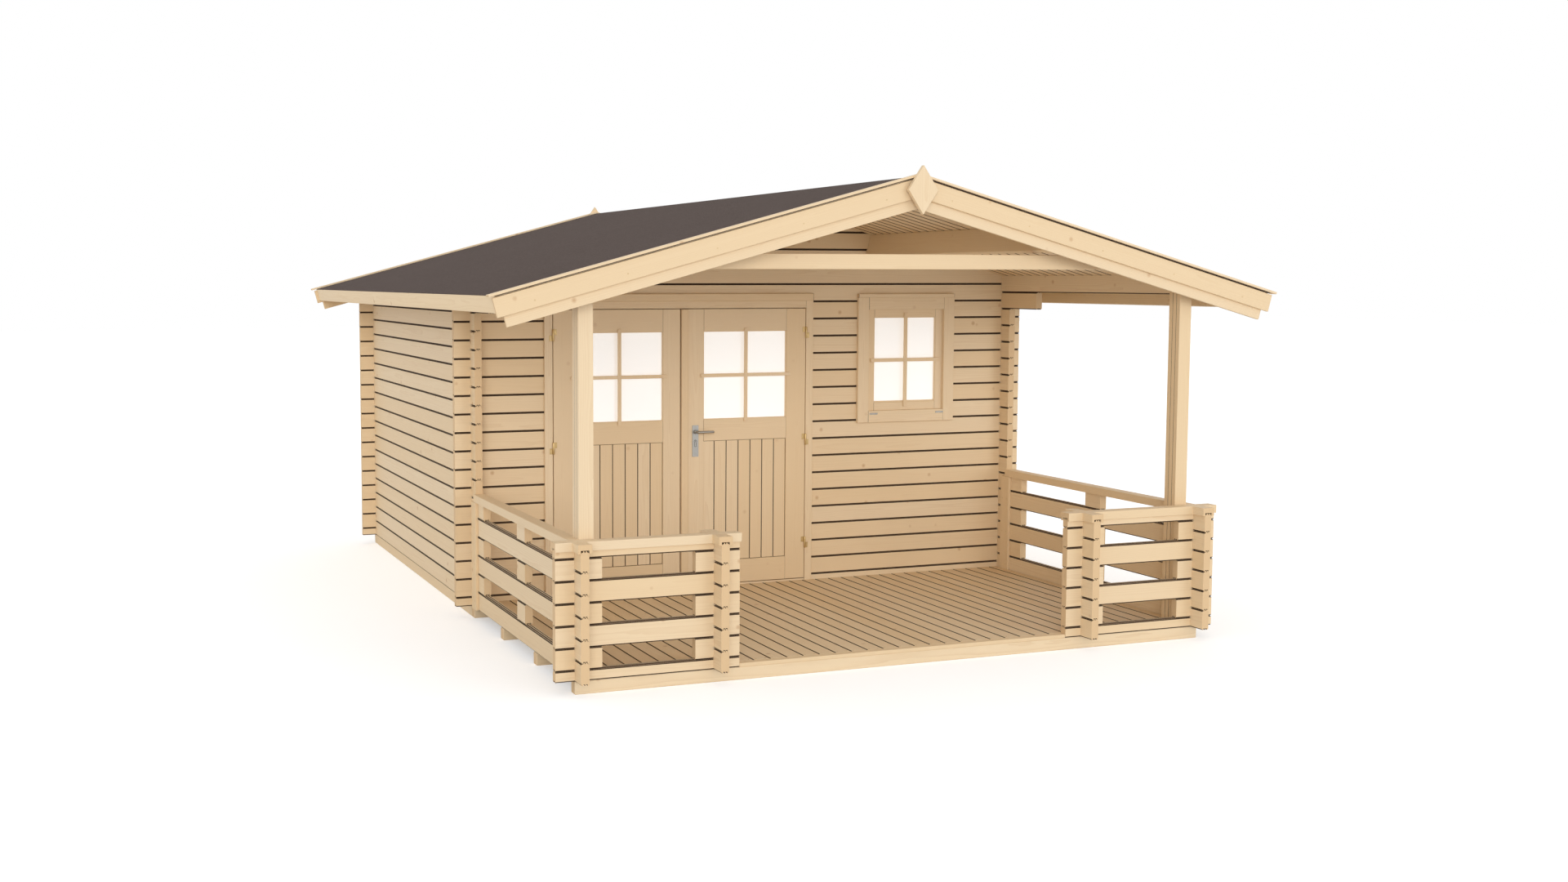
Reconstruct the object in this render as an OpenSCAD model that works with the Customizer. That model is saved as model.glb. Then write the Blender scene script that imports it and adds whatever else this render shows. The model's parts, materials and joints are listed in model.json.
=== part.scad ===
// Garden house: a log cabin with crossing corners, a double door, a window and a covered
// veranda with log railings. Millimetres, +Z up, the front faces -Y, ground at z = 0.

/* [Logs] */
// height one wall log adds to the wall
log_cover = 114; // [100:1:130]
// thickness of every wall and railing log
log_thick = 45; // [34:1:60]
// how far a log runs on past a crossing
log_end = 102; // [70:1:140]
// depth of the bevelled groove between two logs
joint_groove = 4; // [2:0.5:6]
// play left in the notch of a crossing
notch_play = 0.4; // [0.2:0.1:1]

/* [Cabin] */
// outside width over the side walls
cabin_width = 3830; // [3400:10:4400]
// outside depth over the front and back walls
cabin_depth = 3094; // [2600:1:3600]
// height and width of the bearers under the walls
bearer_height = 68; // [50:1:90]
// width of a bearer
bearer_width = 60; // [46:1:80]
// thickness of the cabin's floor boards
floor_thick = 18; // [15:1:25]
// gap between a floor and the logs round it
floor_gap = 1; // [0.5:0.5:4]

/* [Veranda] */
// front wall to the front face of the front railing
veranda_depth = 2057; // [1600:1:2400]
// thickness of the deck boards
deck_thick = 20; // [18:1:28]
// half the width of the way in between the front railings
entrance_half = 1008; // [700:1:1200]
// width of a post
post_width = 80; // [60:1:100]
// depth of a post
post_depth = 95; // [70:1:120]
// width of the fine groove where two of a post's three glued layers meet
post_joint_width = 3; // [2:0.5:6]
// depth of that groove
post_joint_depth = 2; // [1:0.5:4]
// gap between the front railing and a post
post_setback = 22; // [4:1:60]
// height of the tie beam
tie_beam_height = 82; // [60:1:120]
// underside of the tie beam above the bottom of the walls
tie_beam_level = 2080; // [2060:1:2110]
// length and depth of the sloping heel at each end of the tie beam
tie_beam_heel = 60; // [40:1:90]

/* [Railing] */
// thickness of the handrail's top
cap_top = 29; // [18:1:35]
// depth of the handrail's groove over the railing
cap_grip = 17; // [10:1:30]
// thickness of the handrail's sides
cap_side = 15; // [12:1:30]
// length of the block in the middle of a side railing
middle_block = 156; // [80:1:220]
// how far that block sits towards the front
middle_shift = 11; // [0:1:40]
// length of the blocks in a side railing beside the wall
wall_block = 184; // [100:1:260]
// width of the batten over the railing's end at the wall
batten_width = 100; // [60:1:120]
// thickness of that batten
batten_thick = 18; // [12:1:25]
// how far the middle of that batten lies in front of the joint it covers
batten_shift = 6; // [0:1:20]

/* [Roof] */
// slope of the roof in degrees
roof_slope = 15; // [12:0.5:18]
// thickness of the roof boards
roof_board = 16; // [14:1:24]
// gap between two sloping faces that lie on each other
roof_seat = 0.2; // [0.1:0.1:0.5]
// thickness of the roofing felt
felt_thick = 3; // [2:0.5:5]
// how far the roof boards run past the outer face of the side walls, measured level
eaves_overhang = 391; // [300:1:500]
// how far the purlins run in front of the front railing
purlin_front = 18; // [0:1:120]
// height of a middle purlin
purlin_height = 146; // [110:1:170]
// middle of the house to the inner upper edge of a middle purlin
purlin_place = 847; // [700:1:1000]
// length of the log that carries the eaves purlin in front of the wall
corbel_length = 420; // [200:1:600]
// thickness of the verge and eaves boards
verge_thick = 18; // [15:1:24]
// height of the outer verge board
verge_outer_height = 100; // [80:1:130]
// how far the outer verge board stands up beside the roof boards
verge_outer_rise = 10; // [4:1:14]
// height of the inner verge board below the roof boards
verge_inner_height = 148; // [120:1:180]
// thickness of the lath on the verge
lath_thick = 12; // [8:1:20]
// width of the lath on the verge
lath_width = 50; // [40:1:70]
// how far the lath stands out over the outer verge board
lath_overhang = 14; // [4:1:25]
// how far the lath runs past the outer verge board at the eaves
lath_extra = 18; // [5:1:30]
// height of the eaves board
eaves_board_height = 90; // [70:1:120]
// height of the diamond on a gable
diamond_height = 261; // [200:1:320]
// width of the diamond on a gable
diamond_width = 178; // [140:1:220]
// thickness of that diamond in front of the laths
diamond_thick = 26; // [18:1:32]
// size of the block between a diamond and the verge boards, as a share of the diamond
diamond_backing = 0.55; // [0.4:0.05:0.7]
// middle of the diamond below the underside of the roof boards at the ridge
diamond_drop = 56; // [20:1:90]

/* [Door] */
// left edge of the door frame
door_left = -1443; // [-1500:1:-1380]
// right edge of the door frame
door_right = 416; // [380:1:480]
// width of the frame that shows beside a leaf
frame_face = 52; // [45:1:80]
// thickness of the frame in front of the wall
frame_front = 16; // [12:1:22]
// how far the frame laps over the wall logs
frame_lap = 20; // [10:1:30]
// top edge of the frame above the bottom of the walls
frame_top = 1887; // [1885:1:1900]
// how far the frame's stop runs past its face, behind the leaves
frame_stop = 15; // [10:1:20]
// height of the drip board over the frame
drip_height = 46; // [30:1:60]
// thickness of the drip board
drip_thick = 24; // [18:1:40]
// top of the threshold
threshold_top = 33; // [30:1:45]
// gap round a leaf
leaf_gap = 5; // [5:0.5:8]
// thickness of a leaf
leaf_thick = 40; // [35:1:45]
// middle of the gap between the leaves
leaf_meeting = -529; // [-560:1:-500]
// width of the gap between the leaves
meeting_gap = 7; // [6:0.5:10]
// width of the stile on the hinge side
hinge_stile = 138; // [110:1:160]
// width of the left leaf's stile at the meeting
left_meeting_stile = 118; // [110:1:150]
// width of the right leaf's stile at the meeting
right_meeting_stile = 157; // [110:1:170]
// underside of the top rail
glass_top = 1692; // [1600:1:1720]
// top of the middle rail
glass_bottom = 1120; // [1050:1:1200]
// underside of the middle rail
panel_top = 980; // [900:1:1010]
// top of the bottom rail
panel_bottom = 189; // [150:1:240]
// how far the boarded panel lies back
panel_recess = 9; // [5:1:14]
// thickness of the panes
pane_thick = 4; // [3:0.5:6]
// how far a pane sits in its frame
pane_grip = 8; // [5:1:12]
// width of the cover strip on the right leaf
strip_width = 46; // [30:1:55]
// thickness of the cover strip
strip_thick = 12; // [8:1:18]
// radius of a hinge barrel
barrel_radius = 6.5; // [5:0.5:9]
// height of one hinge barrel
barrel_height = 38; // [25:1:60]
// gap between the barrels and the frame
barrel_gap = 1; // [0.5:0.5:2]
// gap between the two barrels of a hinge
hinge_play = 0.3; // [0.2:0.1:1]
// length of a hinge plate
hinge_plate = 24; // [15:1:40]
// thickness of a hinge plate where it leaves the barrel
hinge_strap = 5; // [3:0.5:5]

/* [Lock] */
// middle of the lock plate
plate_place = -427; // [-440:1:-420]
// width of the lock plate
plate_width = 43; // [30:1:44]
// bottom of the lock plate
plate_bottom = 880; // [840:1:900]
// height of the lock plate
plate_height = 204; // [180:1:240]
// thickness of the lock plate
plate_thick = 4; // [3:0.5:6]
// height of the lever's axis
lever_level = 1042; // [1030:1:1060]
// radius of the spindle
spindle_radius = 5; // [4:0.5:6]
// play round the spindle
spindle_play = 1; // [0.5:0.5:2]
// length of the lever
lever_length = 115; // [100:1:140]
// radius of the lever's grip
lever_radius = 9; // [6:0.5:12]
// distance from the plate to the middle of the grip
lever_stand = 42; // [30:1:60]
// radius of the boss the lever turns on
boss_radius = 13; // [10:0.5:16]
// length of that boss
boss_length = 8; // [5:1:15]

/* [Window] */
// left edge of the casing
window_left = 748; // [700:1:800]
// right edge of the casing
window_right = 1483; // [1440:1:1540]
// bottom edge of the casing
window_bottom = 1064; // [1040:1:1080]
// top edge of the casing
window_top = 1904; // [1890:1:1930]
// width of the casing's sides
casing_face = 80; // [60:1:100]
// height of the casing's top
casing_head = 80; // [60:1:90]
// height of the sill
sill_height = 78; // [50:1:90]
// thickness of the casing in front of the wall
casing_front = 24; // [12:1:25]
// how far the casing laps over the wall logs at its sides
casing_lap = 34; // [20:1:50]
// how far the casing laps over the wall logs at its bottom
sill_lap = 19; // [15:1:30]
// height of the window's drip board
window_drip = 25; // [18:1:40]
// how far that drip board stands out over the casing
window_drip_out = 2; // [1:1:25]
// width of the sash's stiles
sash_stile = 53; // [45:1:75]
// height of the sash's top rail
sash_top = 53; // [45:1:75]
// height of the sash's bottom rail
sash_bottom = 53; // [45:1:85]
// thickness of the sash
sash_thick = 40; // [30:1:45]

/* [Hidden] */

half = cabin_width / 2;
inner = half - log_thick;
courses = 18;
rail_courses = 6;
wall_top = courses * log_cover;
rail_top = rail_courses * log_cover;
opening_top = (courses - 1.5) * log_cover;
rail_front = -veranda_depth;
rail_back = rail_front + log_thick;
side_front = rail_front - log_end;
house_back = cabin_depth + log_end;
cap_lap = 4;
purlin_end = rail_front - purlin_front;
slope_run = tan(roof_slope);
board_high = roof_seat + roof_board;
felt_low = board_high + roof_seat;
felt_high = felt_low + felt_thick;
lath_low = felt_high + roof_seat;
ridge_under = wall_top + inner * slope_run;
eaves_reach = half + eaves_overhang;
verge_end = purlin_end - verge_thick;
outer_front = verge_end - verge_thick;
back_end = house_back + verge_thick;
outer_back = back_end + verge_thick;
lath_front = outer_front - lath_overhang;
lath_back = outer_back + lath_overhang;
front_most = min(side_front - cap_lap, lath_front - diamond_thick);
back_most = lath_back + diamond_thick;
shift_y = -(front_most + back_most) / 2;
cap_bottom = rail_top - cap_grip;
cap_height = cap_top + cap_grip;
crossing = entrance_half + log_end;
reach = 4 * cabin_width;
leaf_left = door_left + frame_face + leaf_gap;
leaf_right = door_right - frame_face - leaf_gap;
leaf_bottom = threshold_top + leaf_gap;
leaf_top = frame_top - frame_face;
hinge_left = leaf_left - leaf_gap / 2;
hinge_right = leaf_right + leaf_gap / 2;
hinge_y = -frame_front - barrel_radius - barrel_gap;
hinge_levels = [240, 930, 1640];
bearer_lap = 10;
floor_spans = 5;
deck_spans = 3;
// clearance of a fitted piece, and how far a cut runs past what it cuts
slop = 0.5;
past = 1;
quarter = log_cover / 4;

module place() translate([0, shift_y, bearer_height]) children();
module box(x0, x1, y0, y1, z0, z1) translate([x0, y0, z0]) cube([x1 - x0, y1 - y0, z1 - z0]);
module both() {
    children();
    mirror([1, 0, 0]) children();
}

// outline of a stack of logs: thickness across, height up, a bevelled groove at each joint
function groove_side(x, inward, joints) = [for (z = joints)
    for (k = [-1, 0, 1]) [x + (k == 0 ? inward : 0), z + k * joint_groove]];
function flip(list) = [for (i = [len(list) - 1 : -1 : 0]) list[i]];
function joints(low, high, start) = [for (i = [0 : courses + 4])
    if ((i + start) * log_cover > low + joint_groove && (i + start) * log_cover < high - joint_groove)
        (i + start) * log_cover];
module stack_outline(low, high, start) {
    joint_list = joints(low, high, start);
    polygon(concat([[0, low]], groove_side(0, joint_groove, joint_list), [[0, high], [log_thick, high]],
        flip(groove_side(log_thick, -joint_groove, joint_list)), [[log_thick, low]]));
}
// logs along x with their front face at y, or along y with their outer face at x
module logs_x(x0, x1, y, low, high, start) translate([x0, y, 0]) rotate([90, 0, 90])
    linear_extrude(x1 - x0) stack_outline(low, high, start);
module logs_y(y0, y1, x, low, high, start) translate([x, y1, 0]) rotate([90, 0, 0])
    linear_extrude(y1 - y0) stack_outline(low, high, start);
// notches: in logs along x the crossing logs keep the quarter heights round each half
module notches_x(x, y, count) for (k = [0 : count - 1])
    box(x - notch_play, x + log_thick + notch_play, y - past, y + log_thick + past,
        k * log_cover + quarter - notch_play, k * log_cover + 3 * quarter + notch_play);
module notches_y(x, y, count) for (k = [0 : count])
    box(x - past, x + log_thick + past, y - notch_play, y + log_thick + notch_play,
        k * log_cover - quarter, k * log_cover + quarter);
// everything under the roof boards
module under_roof() rotate([90, 0, 0]) translate([0, 0, -reach]) linear_extrude(2 * reach)
    polygon([[-reach, -reach], [-reach, ridge_under - reach * slope_run], [0, ridge_under],
        [reach, ridge_under - reach * slope_run], [reach, -reach]]);
// a band along the right-hand slope, from out0 to out1 level and up0 to up1 above the underside
module slope_band(out0, out1, up0, up1, y0, y1) translate([0, y1, ridge_under])
    rotate([90, 0, 0]) linear_extrude(y1 - y0)
    polygon([[out0 + up0 * sin(roof_slope), -out0 * slope_run + up0 * cos(roof_slope)],
        [out1 + up0 * sin(roof_slope), -out1 * slope_run + up0 * cos(roof_slope)],
        [out1 + up1 * sin(roof_slope), -out1 * slope_run + up1 * cos(roof_slope)],
        [out0 + up1 * sin(roof_slope), -out0 * slope_run + up1 * cos(roof_slope)]]);
module right_half(gap) box(gap, reach, -reach, reach, -reach, reach);

module side_bearers() color("burlywood") place() both()
    box(half - bearer_width, half, bearer_lap, cabin_depth, -bearer_height, 0);
module cabin_bearers() color("burlywood") place() for (k = [0 : floor_spans])
    translate([0, bearer_lap + k * (cabin_depth - bearer_width - bearer_lap) / floor_spans, 0])
        box(bearer_width - half, half - bearer_width, 0, bearer_width, -bearer_height, 0);
module deck_bearers() color("burlywood") place() for (k = [0 : deck_spans])
    translate([0, rail_front + k * (bearer_lap - bearer_width - rail_front) / deck_spans, 0])
        box(-half, half, 0, bearer_width, -bearer_height, 0);
module cabin_floor() color("tan") place() box(floor_gap - inner, inner - floor_gap,
    log_thick + floor_gap, cabin_depth - log_thick - floor_gap, 0, floor_thick);
module deck_boards() difference() {
    box(floor_gap - inner, inner - floor_gap, rail_back + floor_gap, -floor_gap, 0, deck_thick);
    both() box(crossing - 2 * floor_gap, crossing + log_thick + 2 * floor_gap, rail_back - past,
        rail_back + log_end + 2 * floor_gap, -past, deck_thick + past);
}
module deck_edge() box(floor_gap - entrance_half, entrance_half - floor_gap, rail_front, rail_back,
    0, deck_thick);
module veranda_deck() color("tan") place() {
    deck_boards();
    deck_edge();
}

module right_wall() color("burlywood") place() difference() {
    union() {
        logs_y(-log_end, house_back, inner, 0, wall_top - log_cover, 1);
        logs_y(-corbel_length, -log_end, inner, wall_top - 2 * log_cover, wall_top - log_cover, 1);
    }
    notches_y(inner, 0, courses);
    notches_y(inner, cabin_depth - log_thick, courses);
}
module left_wall() mirror([1, 0, 0]) right_wall();
module eaves_purlins() color("burlywood") place() both() intersection() {
    difference() {
        logs_y(purlin_end, house_back, inner, wall_top - log_cover, wall_top, 1);
        notches_y(inner, 0, courses);
        notches_y(inner, cabin_depth - log_thick, courses);
    }
    under_roof();
}
module purlin_pockets() both() slope_band(purlin_place - slop, purlin_place + (log_thick + slop)
    * cos(roof_slope), -purlin_height - slop, past, -reach, reach);
module back_wall() color("burlywood") place() intersection() {
    difference() {
        logs_x(-half - log_end, half + log_end, cabin_depth - log_thick, 0, ridge_under, 0.5);
        both() notches_x(inner, cabin_depth - log_thick, courses);
        purlin_pockets();
    }
    under_roof();
}
module front_wall_left() color("burlywood") place() difference() {
    logs_x(-half - log_end, door_left + frame_lap, 0, 0, opening_top, 0.5);
    notches_x(-half, 0, courses);
}
module front_wall_right() color("burlywood") place() difference() {
    logs_x(door_right - frame_lap, half + log_end, 0, 0, opening_top, 0.5);
    notches_x(inner, 0, courses);
    box(window_left + casing_lap, window_right - casing_lap, -past, log_thick + past,
        window_bottom + sill_lap, wall_top);
}
module front_gable() color("burlywood") place() intersection() {
    difference() {
        logs_x(-half - log_end, half + log_end, 0, opening_top, ridge_under, 0.5);
        both() notches_x(inner, 0, courses);
        purlin_pockets();
    }
    under_roof();
}
module middle_purlins() color("burlywood") place() both()
    slope_band(purlin_place, purlin_place + log_thick * cos(roof_slope), -purlin_height, 0,
        purlin_end, house_back);
module tie_beam() color("burlywood") place() {
    beam_y = rail_back + post_setback + post_depth / 2;
    beam_end = inner - post_width;
    intersection() {
        translate([0, beam_y + log_thick / 2, 0]) rotate([90, 0, 0]) linear_extrude(log_thick)
            polygon([[-beam_end, tie_beam_level - tie_beam_heel],
                [tie_beam_heel - beam_end, tie_beam_level],
                [beam_end - tie_beam_heel, tie_beam_level],
                [beam_end, tie_beam_level - tie_beam_heel],
                [beam_end, tie_beam_level + tie_beam_height],
                [-beam_end, tie_beam_level + tie_beam_height]]);
        under_roof();
    }
}
module posts() color("burlywood") place() both() intersection() {
    translate([inner - post_width, rail_back + post_setback, deck_thick]) difference() {
        cube([post_width, post_depth, wall_top + log_cover]);
        for (x = [-past, post_width - post_joint_depth], layer = [1, 2])
            translate([x, layer * post_depth / 3 - post_joint_width / 2, -past])
                cube([post_joint_depth + past, post_joint_width, wall_top + 2 * log_cover]);
    }
    under_roof();
}

module roof_boards_right() color("burlywood") place() intersection() {
    slope_band(-log_cover, eaves_reach, roof_seat, board_high, verge_end, back_end);
    right_half(slop);
}
module roof_boards_left() mirror([1, 0, 0]) roof_boards_right();
module roofing_felt() color("dimgray") place() both() intersection() {
    slope_band(-log_cover, eaves_reach + verge_thick, felt_low, felt_high, outer_front,
        outer_back);
    right_half(0);
}
module eaves_boards() color("burlywood") place() both()
    slope_band(eaves_reach + roof_seat, eaves_reach + verge_thick, board_high - eaves_board_height,
        board_high, verge_end, back_end);
module verge_inner() color("burlywood") place() both() intersection() {
    for (y = [verge_end, house_back])
        slope_band(-log_cover, eaves_reach - slop, -verge_inner_height, 0, y, y + verge_thick);
    right_half(slop);
}
module verge_outer() color("burlywood") place() both() intersection() {
    for (y = [outer_front, back_end])
        slope_band(-log_cover, eaves_reach + 2 * verge_thick,
            verge_outer_rise - verge_outer_height, verge_outer_rise, y, y + verge_thick);
    right_half(slop);
}
module verge_laths() color("burlywood") place() both() intersection() {
    for (y = [lath_front, lath_back - lath_width])
        slope_band(-log_cover, eaves_reach + 2 * verge_thick + lath_extra, lath_low,
            lath_low + lath_thick, y, y + lath_width);
    right_half(slop);
}
module diamond(thick, scale_factor) rotate([90, 0, 0]) linear_extrude(thick)
    polygon([[0, -scale_factor * diamond_height / 2], [scale_factor * diamond_width / 2, 0],
        [0, scale_factor * diamond_height / 2], [-scale_factor * diamond_width / 2, 0]]);
module gable_diamonds() color("burlywood") place() translate([0, 0, ridge_under - diamond_drop]) {
    translate([0, lath_front, 0]) diamond(diamond_thick, 1);
    translate([0, outer_front, 0]) diamond(lath_overhang, diamond_backing);
    translate([0, lath_back + diamond_thick, 0]) diamond(diamond_thick, 1);
    translate([0, lath_back, 0]) diamond(lath_overhang, diamond_backing);
}

// jamb seen from above, at the right-hand side of an opening whose wall ends at x = 0
module jamb_outline() polygon([[frame_lap, -frame_front], [frame_lap, 0], [-slop, 0],
    [-slop, log_thick], [frame_lap, log_thick], [frame_lap, log_thick + frame_front],
    [frame_lap - frame_face - frame_stop, log_thick + frame_front],
    [frame_lap - frame_face - frame_stop, leaf_thick - frame_front + leaf_gap],
    [frame_lap - frame_face, leaf_thick - frame_front + leaf_gap],
    [frame_lap - frame_face, -frame_front]]);
module door_frame() color("burlywood") place() {
    difference() {
        union() {
            translate([door_right - frame_lap, 0, 0]) linear_extrude(frame_top) jamb_outline();
            translate([door_left + frame_lap, 0, 0]) mirror([1, 0, 0]) linear_extrude(frame_top)
                jamb_outline();
        }
        box(-reach, reach, -reach, 0, -past, deck_thick);
        box(-reach, reach, log_thick, reach, -past, floor_thick);
        box(-reach, reach, -slop, log_thick + slop, opening_top - slop, reach);
    }
    head_low = frame_top - frame_face + leaf_gap;
    box(door_left + frame_face, door_right - frame_face, -frame_front, 0, head_low, frame_top);
    box(door_left + frame_face, door_right - frame_face, 0, log_thick, head_low, opening_top - slop);
    box(door_left + frame_face, door_right - frame_face, leaf_thick - frame_front + leaf_gap,
        log_thick + frame_front, head_low - leaf_gap - frame_stop, opening_top - slop);
    box(door_left + frame_face, door_right - frame_face, -frame_front, 0, deck_thick, threshold_top);
    box(door_left + frame_face, door_right - frame_face, 0, log_thick, 0, threshold_top);
    box(door_left + frame_face, door_right - frame_face, log_thick - past,
        log_thick + frame_front, floor_thick, threshold_top);
    box(door_left, door_right, -drip_thick, 0, frame_top, frame_top + drip_height);
}

// a leaf between x0 and x1 with its stiles, a pane above and a boarded panel below
module leaf(x0, x1, stile0, stile1) translate([0, -frame_front, 0]) difference() {
    box(x0, x1, 0, leaf_thick, leaf_bottom, leaf_top);
    box(x0 + stile0, x1 - stile1, -past, leaf_thick + past, glass_bottom, glass_top);
    box(x0 + stile0, x1 - stile1, -past, panel_recess, panel_bottom, panel_top);
    box(x0 + stile0, x1 - stile1, leaf_thick - panel_recess, leaf_thick + past, panel_bottom,
        panel_top);
    box(x0 + stile0 - pane_grip, x1 - stile1 + pane_grip, (leaf_thick - pane_thick) / 2,
        (leaf_thick + pane_thick) / 2, glass_bottom - pane_grip, glass_top + pane_grip);
}
module pane(x0, x1) translate([0, -frame_front + (leaf_thick - pane_thick) / 2, 0])
    box(x0 - pane_grip, x1 + pane_grip, 0, pane_thick, glass_bottom - pane_grip,
        glass_top + pane_grip);
module left_leaf() color("burlywood") place()
    leaf(leaf_left, leaf_meeting - meeting_gap / 2, hinge_stile, left_meeting_stile);
module right_leaf() color("burlywood") place() difference() {
    leaf(leaf_meeting + meeting_gap / 2, leaf_right, right_meeting_stile, hinge_stile);
    translate([plate_place, 0, lever_level]) rotate([90, 0, 0])
        cylinder(r = spindle_radius + spindle_play, h = 4 * leaf_thick, center = true, $fn = 48);
}
module left_pane() color("lightblue") place()
    pane(leaf_left + hinge_stile, leaf_meeting - meeting_gap / 2 - left_meeting_stile);
module right_pane() color("lightblue") place()
    pane(leaf_meeting + meeting_gap / 2 + right_meeting_stile, leaf_right - hinge_stile);
module cover_strip() color("burlywood") place()
    box(leaf_meeting + meeting_gap / 2, leaf_meeting + meeting_gap / 2 + strip_width,
        -frame_front - strip_thick, -frame_front, leaf_bottom, leaf_top);

// one barrel with its plate; side 1 puts the plate on the right of the axis
module knuckle(x, z, side) translate([x, 0, z]) {
    translate([0, hinge_y, 0]) cylinder(r = barrel_radius, h = barrel_height, $fn = 48);
    translate([side > 0 ? 0 : -hinge_plate, hinge_y, 0])
        cube([hinge_plate, barrel_radius + barrel_gap - hinge_strap / 2, barrel_height]);
    translate([side > 0 ? leaf_gap / 2 + past : -hinge_plate, -frame_front - hinge_strap, 0])
        cube([hinge_plate - leaf_gap / 2 - past, hinge_strap, barrel_height]);
}
module frame_hinges() color("silver") place() for (z = hinge_levels) {
    knuckle(hinge_left, z, -1);
    knuckle(hinge_right, z, 1);
}
module left_hinges() color("silver") place() for (z = hinge_levels)
    knuckle(hinge_left, z + barrel_height + hinge_play, 1);
module right_hinges() color("silver") place() for (z = hinge_levels)
    knuckle(hinge_right, z + barrel_height + hinge_play, -1);

module lock_plates() color("silver") place() difference() {
    for (y = [-frame_front - plate_thick, leaf_thick - frame_front])
        box(plate_place - plate_width / 2, plate_place + plate_width / 2, y, y + plate_thick,
            plate_bottom, plate_bottom + plate_height);
    translate([plate_place, 0, lever_level]) rotate([90, 0, 0])
        cylinder(r = spindle_radius + spindle_play, h = 4 * leaf_thick, center = true, $fn = 48);
}
module lever_side() {
    translate([0, -plate_thick - spindle_play, 0]) rotate([90, 0, 0])
        cylinder(r = boss_radius, h = boss_length, $fn = 48);
    translate([0, -plate_thick - spindle_play, 0]) rotate([90, 0, 0])
        cylinder(r = lever_radius, h = lever_stand, $fn = 48);
    translate([0, -plate_thick - lever_stand, 0]) rotate([0, 90, 0])
        cylinder(r = lever_radius, h = lever_length, $fn = 48);
    translate([0, -plate_thick - lever_stand, 0]) sphere(r = lever_radius, $fn = 48);
}
module lever_handle() color("silver") place() translate([plate_place, -frame_front, lever_level]) {
    lever_side();
    translate([0, leaf_thick, 0]) mirror([0, 1, 0]) lever_side();
    translate([0, leaf_thick / 2, 0]) rotate([90, 0, 0])
        cylinder(r = spindle_radius, h = leaf_thick + 2 * (plate_thick + spindle_play + past),
            center = true, $fn = 48);
}

// the casing's frame from y0 to y1, as much smaller all round as it needs to be in the wall
module window_ring(y0, y1, side, bottom, top) difference() {
    box(window_left + side, window_right - side, y0, y1, window_bottom + bottom, top);
    box(window_left + casing_face, window_right - casing_face, y0 - past, y1 + past,
        window_bottom + sill_height, window_top - casing_head);
}
module window_casing() color("burlywood") place() {
    window_ring(-casing_front, 0, 0, 0, window_top);
    window_ring(-past, log_thick + past, casing_lap + slop, sill_lap + slop, opening_top - slop);
    window_ring(log_thick, log_thick + casing_front, 0, 0, window_top);
    box(window_left, window_right, -casing_front - window_drip_out, 0, window_top,
        window_top + window_drip);
}
module window_sash() color("burlywood") place() difference() {
    box(window_left + casing_face, window_right - casing_face, 0, sash_thick,
        window_bottom + sill_height, window_top - casing_head);
    box(window_left + casing_face + sash_stile, window_right - casing_face - sash_stile, -past,
        sash_thick + past, window_bottom + sill_height + sash_bottom,
        window_top - casing_head - sash_top);
    window_glass(pane_thick);
}
module window_glass(thick) box(window_left + casing_face + sash_stile - pane_grip,
    window_right - casing_face - sash_stile + pane_grip, (sash_thick - thick) / 2,
    (sash_thick + thick) / 2, window_bottom + sill_height + sash_bottom - pane_grip,
    window_top - casing_head - sash_top + pane_grip);
module window_pane() color("lightblue") place() window_glass(pane_thick);

// side railing: log and gap in turn, one course each, with blocks in the gaps
module right_railing() color("burlywood") place() difference() {
    union() {
        for (k = [0, 2, 4])
            logs_y(side_front, -log_end, inner, k * log_cover, (k + 1) * log_cover, 0);
        for (k = [1, 3, 5]) {
            box(inner, half, side_front, rail_back + log_end, k * log_cover, (k + 1) * log_cover);
            box(inner, half, -log_end - wall_block, -log_end, k * log_cover, (k + 1) * log_cover);
            translate([0, (rail_front - log_end) / 2 - middle_shift, 0])
                box(inner, half, -middle_block / 2, middle_block / 2, k * log_cover,
                    (k + 1) * log_cover);
        }
    }
    notches_y(inner, rail_front, rail_courses);
}
module left_railing() mirror([1, 0, 0]) right_railing();
// front railing: half a course lower than the side railing, so it starts with half a log
module front_railing_right() color("burlywood") place() difference() {
    union() {
        for (span = [[0, 0.5], [1.5, 2.5], [3.5, 4.5], [5.5, 6]])
            box(entrance_half, half + log_end, rail_front, rail_back, span[0] * log_cover,
                span[1] * log_cover);
        for (k = [0.5, 2.5, 4.5]) {
            box(entrance_half, crossing + log_thick + log_end, rail_front, rail_back,
                k * log_cover, (k + 1) * log_cover);
            box(inner - log_end, half + log_end, rail_front, rail_back, k * log_cover,
                (k + 1) * log_cover);
        }
    }
    notches_x(inner, rail_front, rail_courses);
    notches_x(crossing, rail_front, rail_courses);
}
module front_railing_left() mirror([1, 0, 0]) front_railing_right();
module railing_crossings() color("burlywood") place() both() difference() {
    logs_y(side_front, rail_back + log_end, crossing, 0, rail_top, 0);
    notches_y(crossing, rail_front, rail_courses);
}
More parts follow.
